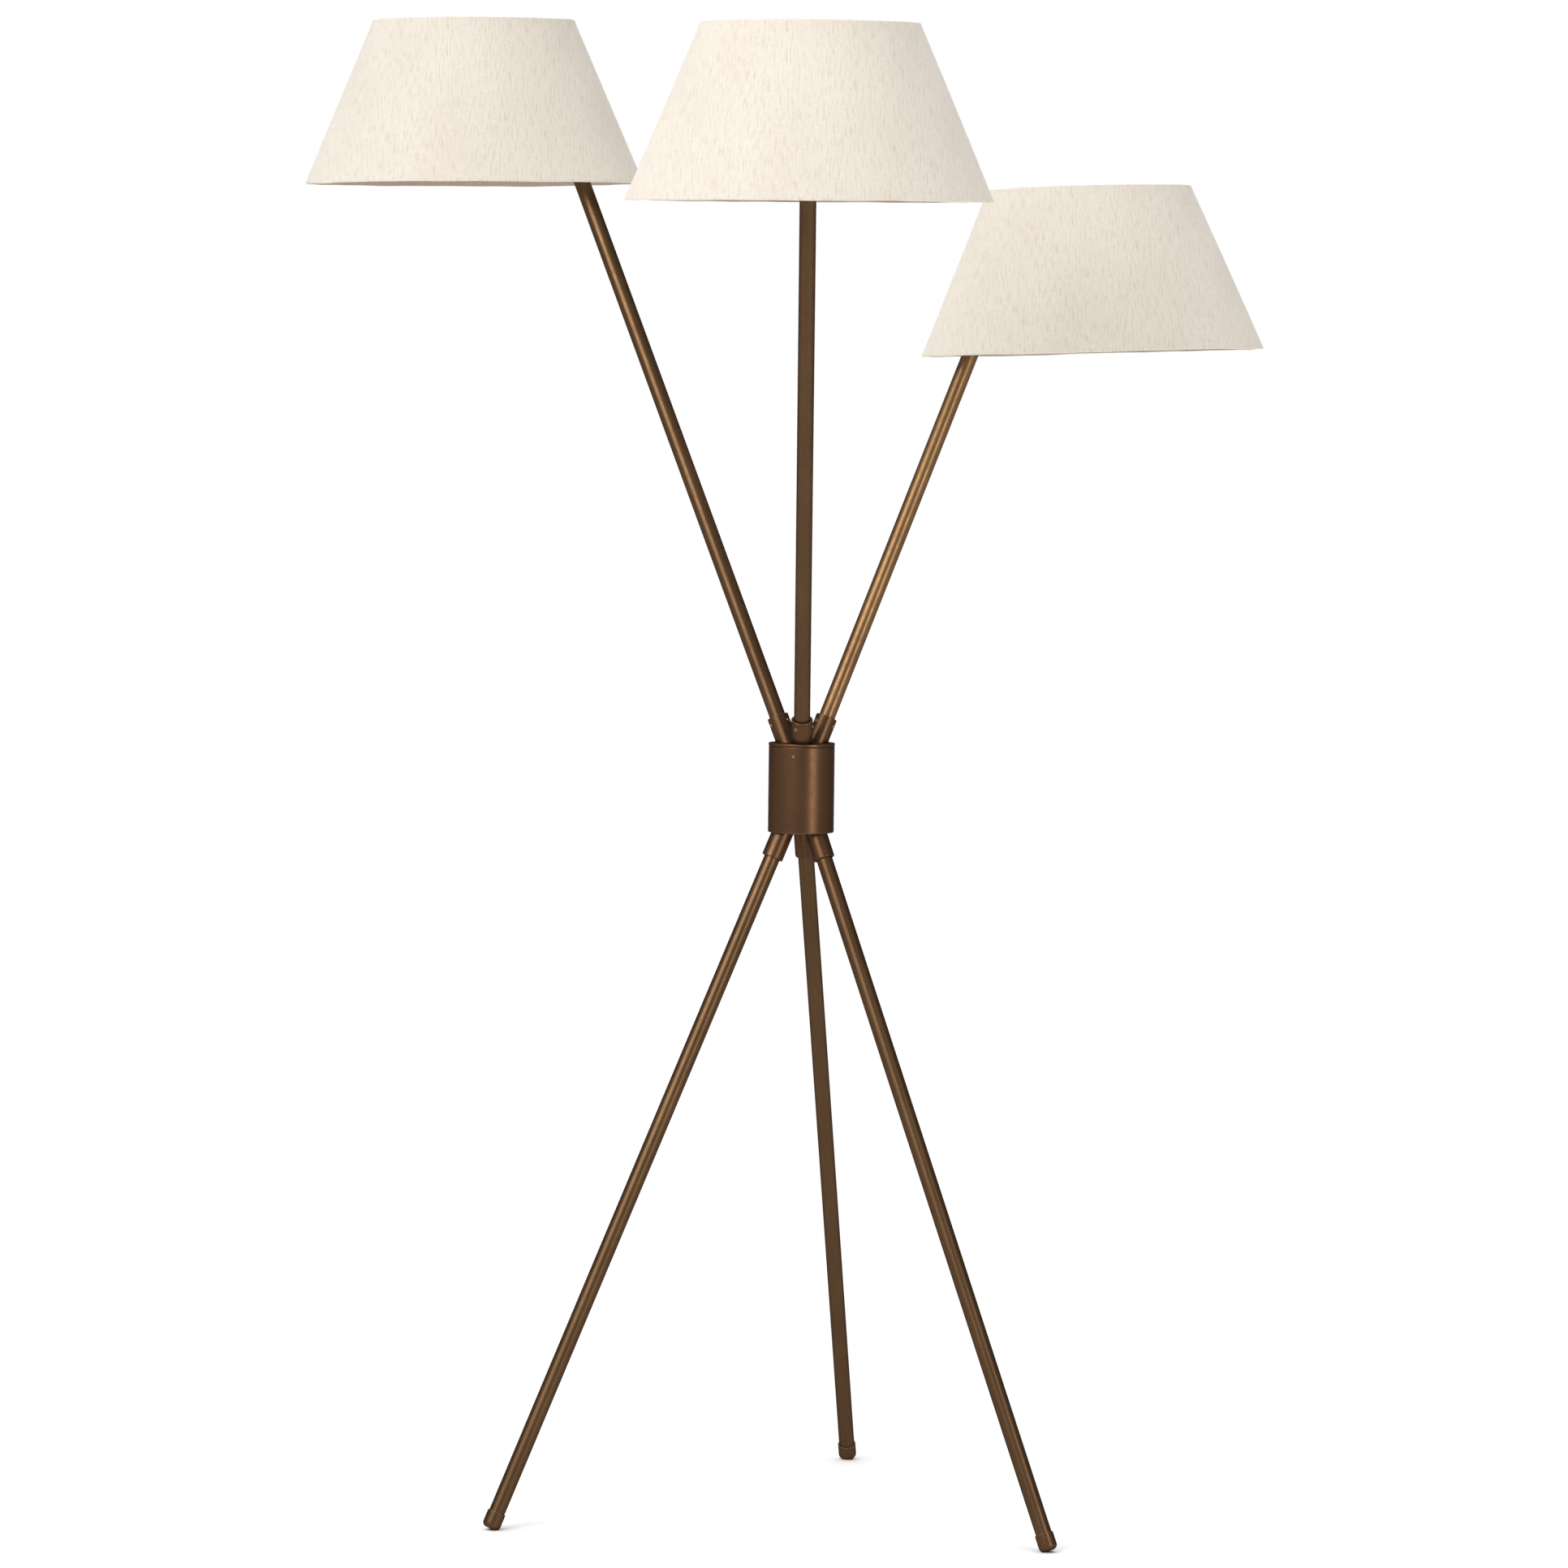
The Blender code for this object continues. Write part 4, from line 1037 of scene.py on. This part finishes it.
def make_shade(side, place, seed):
    """Linen on a stiff lining, rolled over at both edges, with a lapped seam at the back."""
    low, high = heights_of(f"shade_{side}", place)
    slant, run, rise, apex = cone(low, high)
    cloth = (slant, run, rise, high)
    forward = place.inverted().to_3x3() @ Vector((0, -1, 0))
    facing = place @ turn(atan2(forward.y, forward.x), "Z")
    section = hem_section(slant)
    turns = angles(-pi + SEAM_GAP, pi - SEAM_GAP, AROUND - 1)
    points = [shade_point(a, down, out, cloth, seed) for a in turns for down, out, _ in section]
    flat = [flat_point(a, down, out, apex, run) for a in turns for down, out, _ in section]
    shape = Shape()
    shape.faces = bands(AROUND, len(section), closed=True)
    shape.slots = [material for _, _, material in section] * AROUND
    shape.points = [facing @ Vector(point) for point in points]
    shape.local = flat
    shape.wear = [0.0] * len(points)
    add_seam(shape, facing, cloth, seed)
    materials = [LINEN, LINING, HEM_PAINTED_SHADE]
    shade = shape.piece(f"shade_{side}_linen", materials, f"{side}_head", f"shade_{side}")


def add_seam(shape, facing, cloth, seed):
    """A lap of linen down the back, from hem to hem."""
    slant, run, _, _ = cloth
    first = len(shape.points)
    edge = [(0.5, -0.0002), (0.48, 0.0005), (0.2, 0.00065)]  # share of the lap's width, and out
    across = [(-share, out) for share, out in edge] + edge[::-1]
    for i in range(SEAM_ROWS):
        down = 0.0022 + (slant - 0.0036) * i / (SEAM_ROWS - 1)
        half = SEAM_WIDTH / (SHADE_TOP_RADIUS + run * down)
        for share, out in across:
            point = shade_point(pi + share * half, down, out, cloth, seed)
            shape.points.append(facing @ Vector(point))
            shape.local.append((share * SEAM_WIDTH + SEAM_PATTERN, down, out))
            shape.wear.append(0.0)
    faces = capped(SEAM_ROWS, len(across), first)
    shape.faces += faces
    shape.slots += [0] * len(faces)


# ---- Assembly ----


def make_side(side, seed):
    """One arm with all that it carries. Returns the cutter of its collar's hole in the lid."""
    crossing, axis = joint_of(f"{side}_arm_turn")
    pivot, hinge = joint_of(f"{side}_shade_tilt")
    switch, outward = joint_of(f"{side}_switch_turn")

    collar = frame_along(crossing, axis)
    make_collar(f"arm_{side}_collar", collar, f"arm_collar_{side}")
    for i in range(1, 4):
        make_set_screw(f"arm_{side}_set_screw_{i}", collar, f"arm_set_screw_{side}_{i}")
    make_arm(side, frame_from(crossing, hinge.cross(axis), hinge), (pivot - crossing).length)

    head = frame_from(pivot, outward, hinge)
    to_switch = head.inverted() @ switch
    holder = head @ shift(to_switch.x)
    make_knuckle(side, head)
    make_thumb_screw(side, head)
    make_link(side, head, to_switch.x)
    make_socket_cap(side, holder)
    make_socket_shell(side, holder, to_switch.z)
    make_shade_ring(side, holder)
    make_knob(side, holder @ shift(z=to_switch.z) @ Z_TO_X)
    make_bulb(side, holder)
    make_shade_frame(side, holder)
    make_shade(side, holder, seed)
    low, high = heights_of(f"arm_collar_{side}", collar)
    return rod(collar, COLLAR_HOLE, low - HOLE_REACH, high)


def make_lamp():
    """All the pieces. The legs and arms come first, as their collars cut holes in the hub."""
    floor_holes = [make_leg(side) for side in LEGS]
    lid_holes = [make_side(side, seed) for seed, side in enumerate(SIDES, 1)]
    make_hub(floor_holes, lid_holes)
    make_terminals()


# ---- Studio ----


def soft_light(name, place, height, size, power, colour=(1.0, 1.0, 1.0), reflected=False):
    """
    A soft box of that width and height, turned towards the lamp's axis at that height.
    A reflected one is a card that shows in glossy surfaces and lights nothing.
    """
    light = bpy.data.lights.new(name, "AREA")
    light.shape = "RECTANGLE"
    light.size, light.size_y = size
    light.energy = power
    light.color = colour
    obj = add_object(name, light)
    obj.visible_diffuse = not reflected
    facing = (Vector((0, 0, height)) - Vector(place)).to_track_quat("-Z", "Y")
    obj.matrix_world = Matrix.Translation(place) @ facing.to_matrix().to_4x4()


def overhead_light(power, lean):
    """A broad light from above and a little to the left, as even as a lit ceiling."""
    light = bpy.data.lights.new("overhead", "SUN")
    light.energy = power
    light.angle = radians(100)
    add_object("overhead", light).matrix_world = turn(-lean, "Y")


def make_floor():
    """A wide, pale round floor."""
    radius, steps = 30, 64
    rim = [(*point, 0.0) for point in arc((0, 0), radius, 0, TURN, steps)[:-1]]
    points = [(0, 0, 0)] + rim
    mesh = bpy.data.meshes.new("studio_floor")
    mesh.from_pydata(points, [], [[0, 1 + k, 1 + (k + 1) % steps] for k in range(steps)])
    set_local(mesh, points)
    mesh.materials.append(pale_floor())
    add_object("studio_floor", mesh)


def make_world():
    """White surroundings that light the lamp more dimly than they look."""
    world = bpy.data.worlds.new("studio")
    world.use_nodes = True
    nodes, links = world.node_tree.nodes, world.node_tree.links
    path = nodes.new("ShaderNodeLightPath")
    strength = nodes.new("ShaderNodeMapRange")
    strength.inputs["To Min"].default_value = 0.26
    strength.inputs["To Max"].default_value = 1.0
    links.new(path.outputs["Is Camera Ray"], strength.inputs["Value"])
    background = nodes["Background"]
    background.inputs["Color"].default_value = (1.0, 1.0, 1.0, 1.0)
    links.new(strength.outputs["Result"], background.inputs["Strength"])
    bpy.context.scene.world = world


def make_camera():
    """The camera that the lamp is matched to."""
    data = bpy.data.cameras.new("photo_angle")
    data.lens = CAMERA_LENS
    data.sensor_width = 36.0
    data.clip_end = 100.0
    camera = add_object("photo_angle", data)
    tilt = turn(pi / 2 - CAMERA_DOWN, "X") @ turn(CAMERA_ROLL, "Z")
    camera.matrix_world = shift(*CAMERA_PLACE) @ tilt
    bpy.context.scene.camera = camera


def make_studio():
    """The floor, surroundings, camera and lights of a bright, nearly shadowless studio."""
    make_floor()
    make_world()
    make_camera()
    soft_light("key", (-2.2, -2.5, 2.9), 1.3, (1.6, 1.6), power=47)
    soft_light("fill", (2.8, -2.9, 1.3), 1.0, (1.1, 2.0), power=23)
    warm, warmer = (1.0, 0.96, 0.9), (1.0, 0.94, 0.86)
    soft_light("left_sheen", (-2.3, -3.1, 2.7), 1.2, (3.4, 1.8), 150, warm, reflected=True)
    soft_light("right_sheen", (2.6, -3.0, 1.1), 1.0, (0.9, 1.7), 52, warmer, reflected=True)
    overhead_light(power=2.8, lean=radians(9))
    bpy.context.scene.view_settings.view_transform = "Standard"


make_studio()
make_lamp()
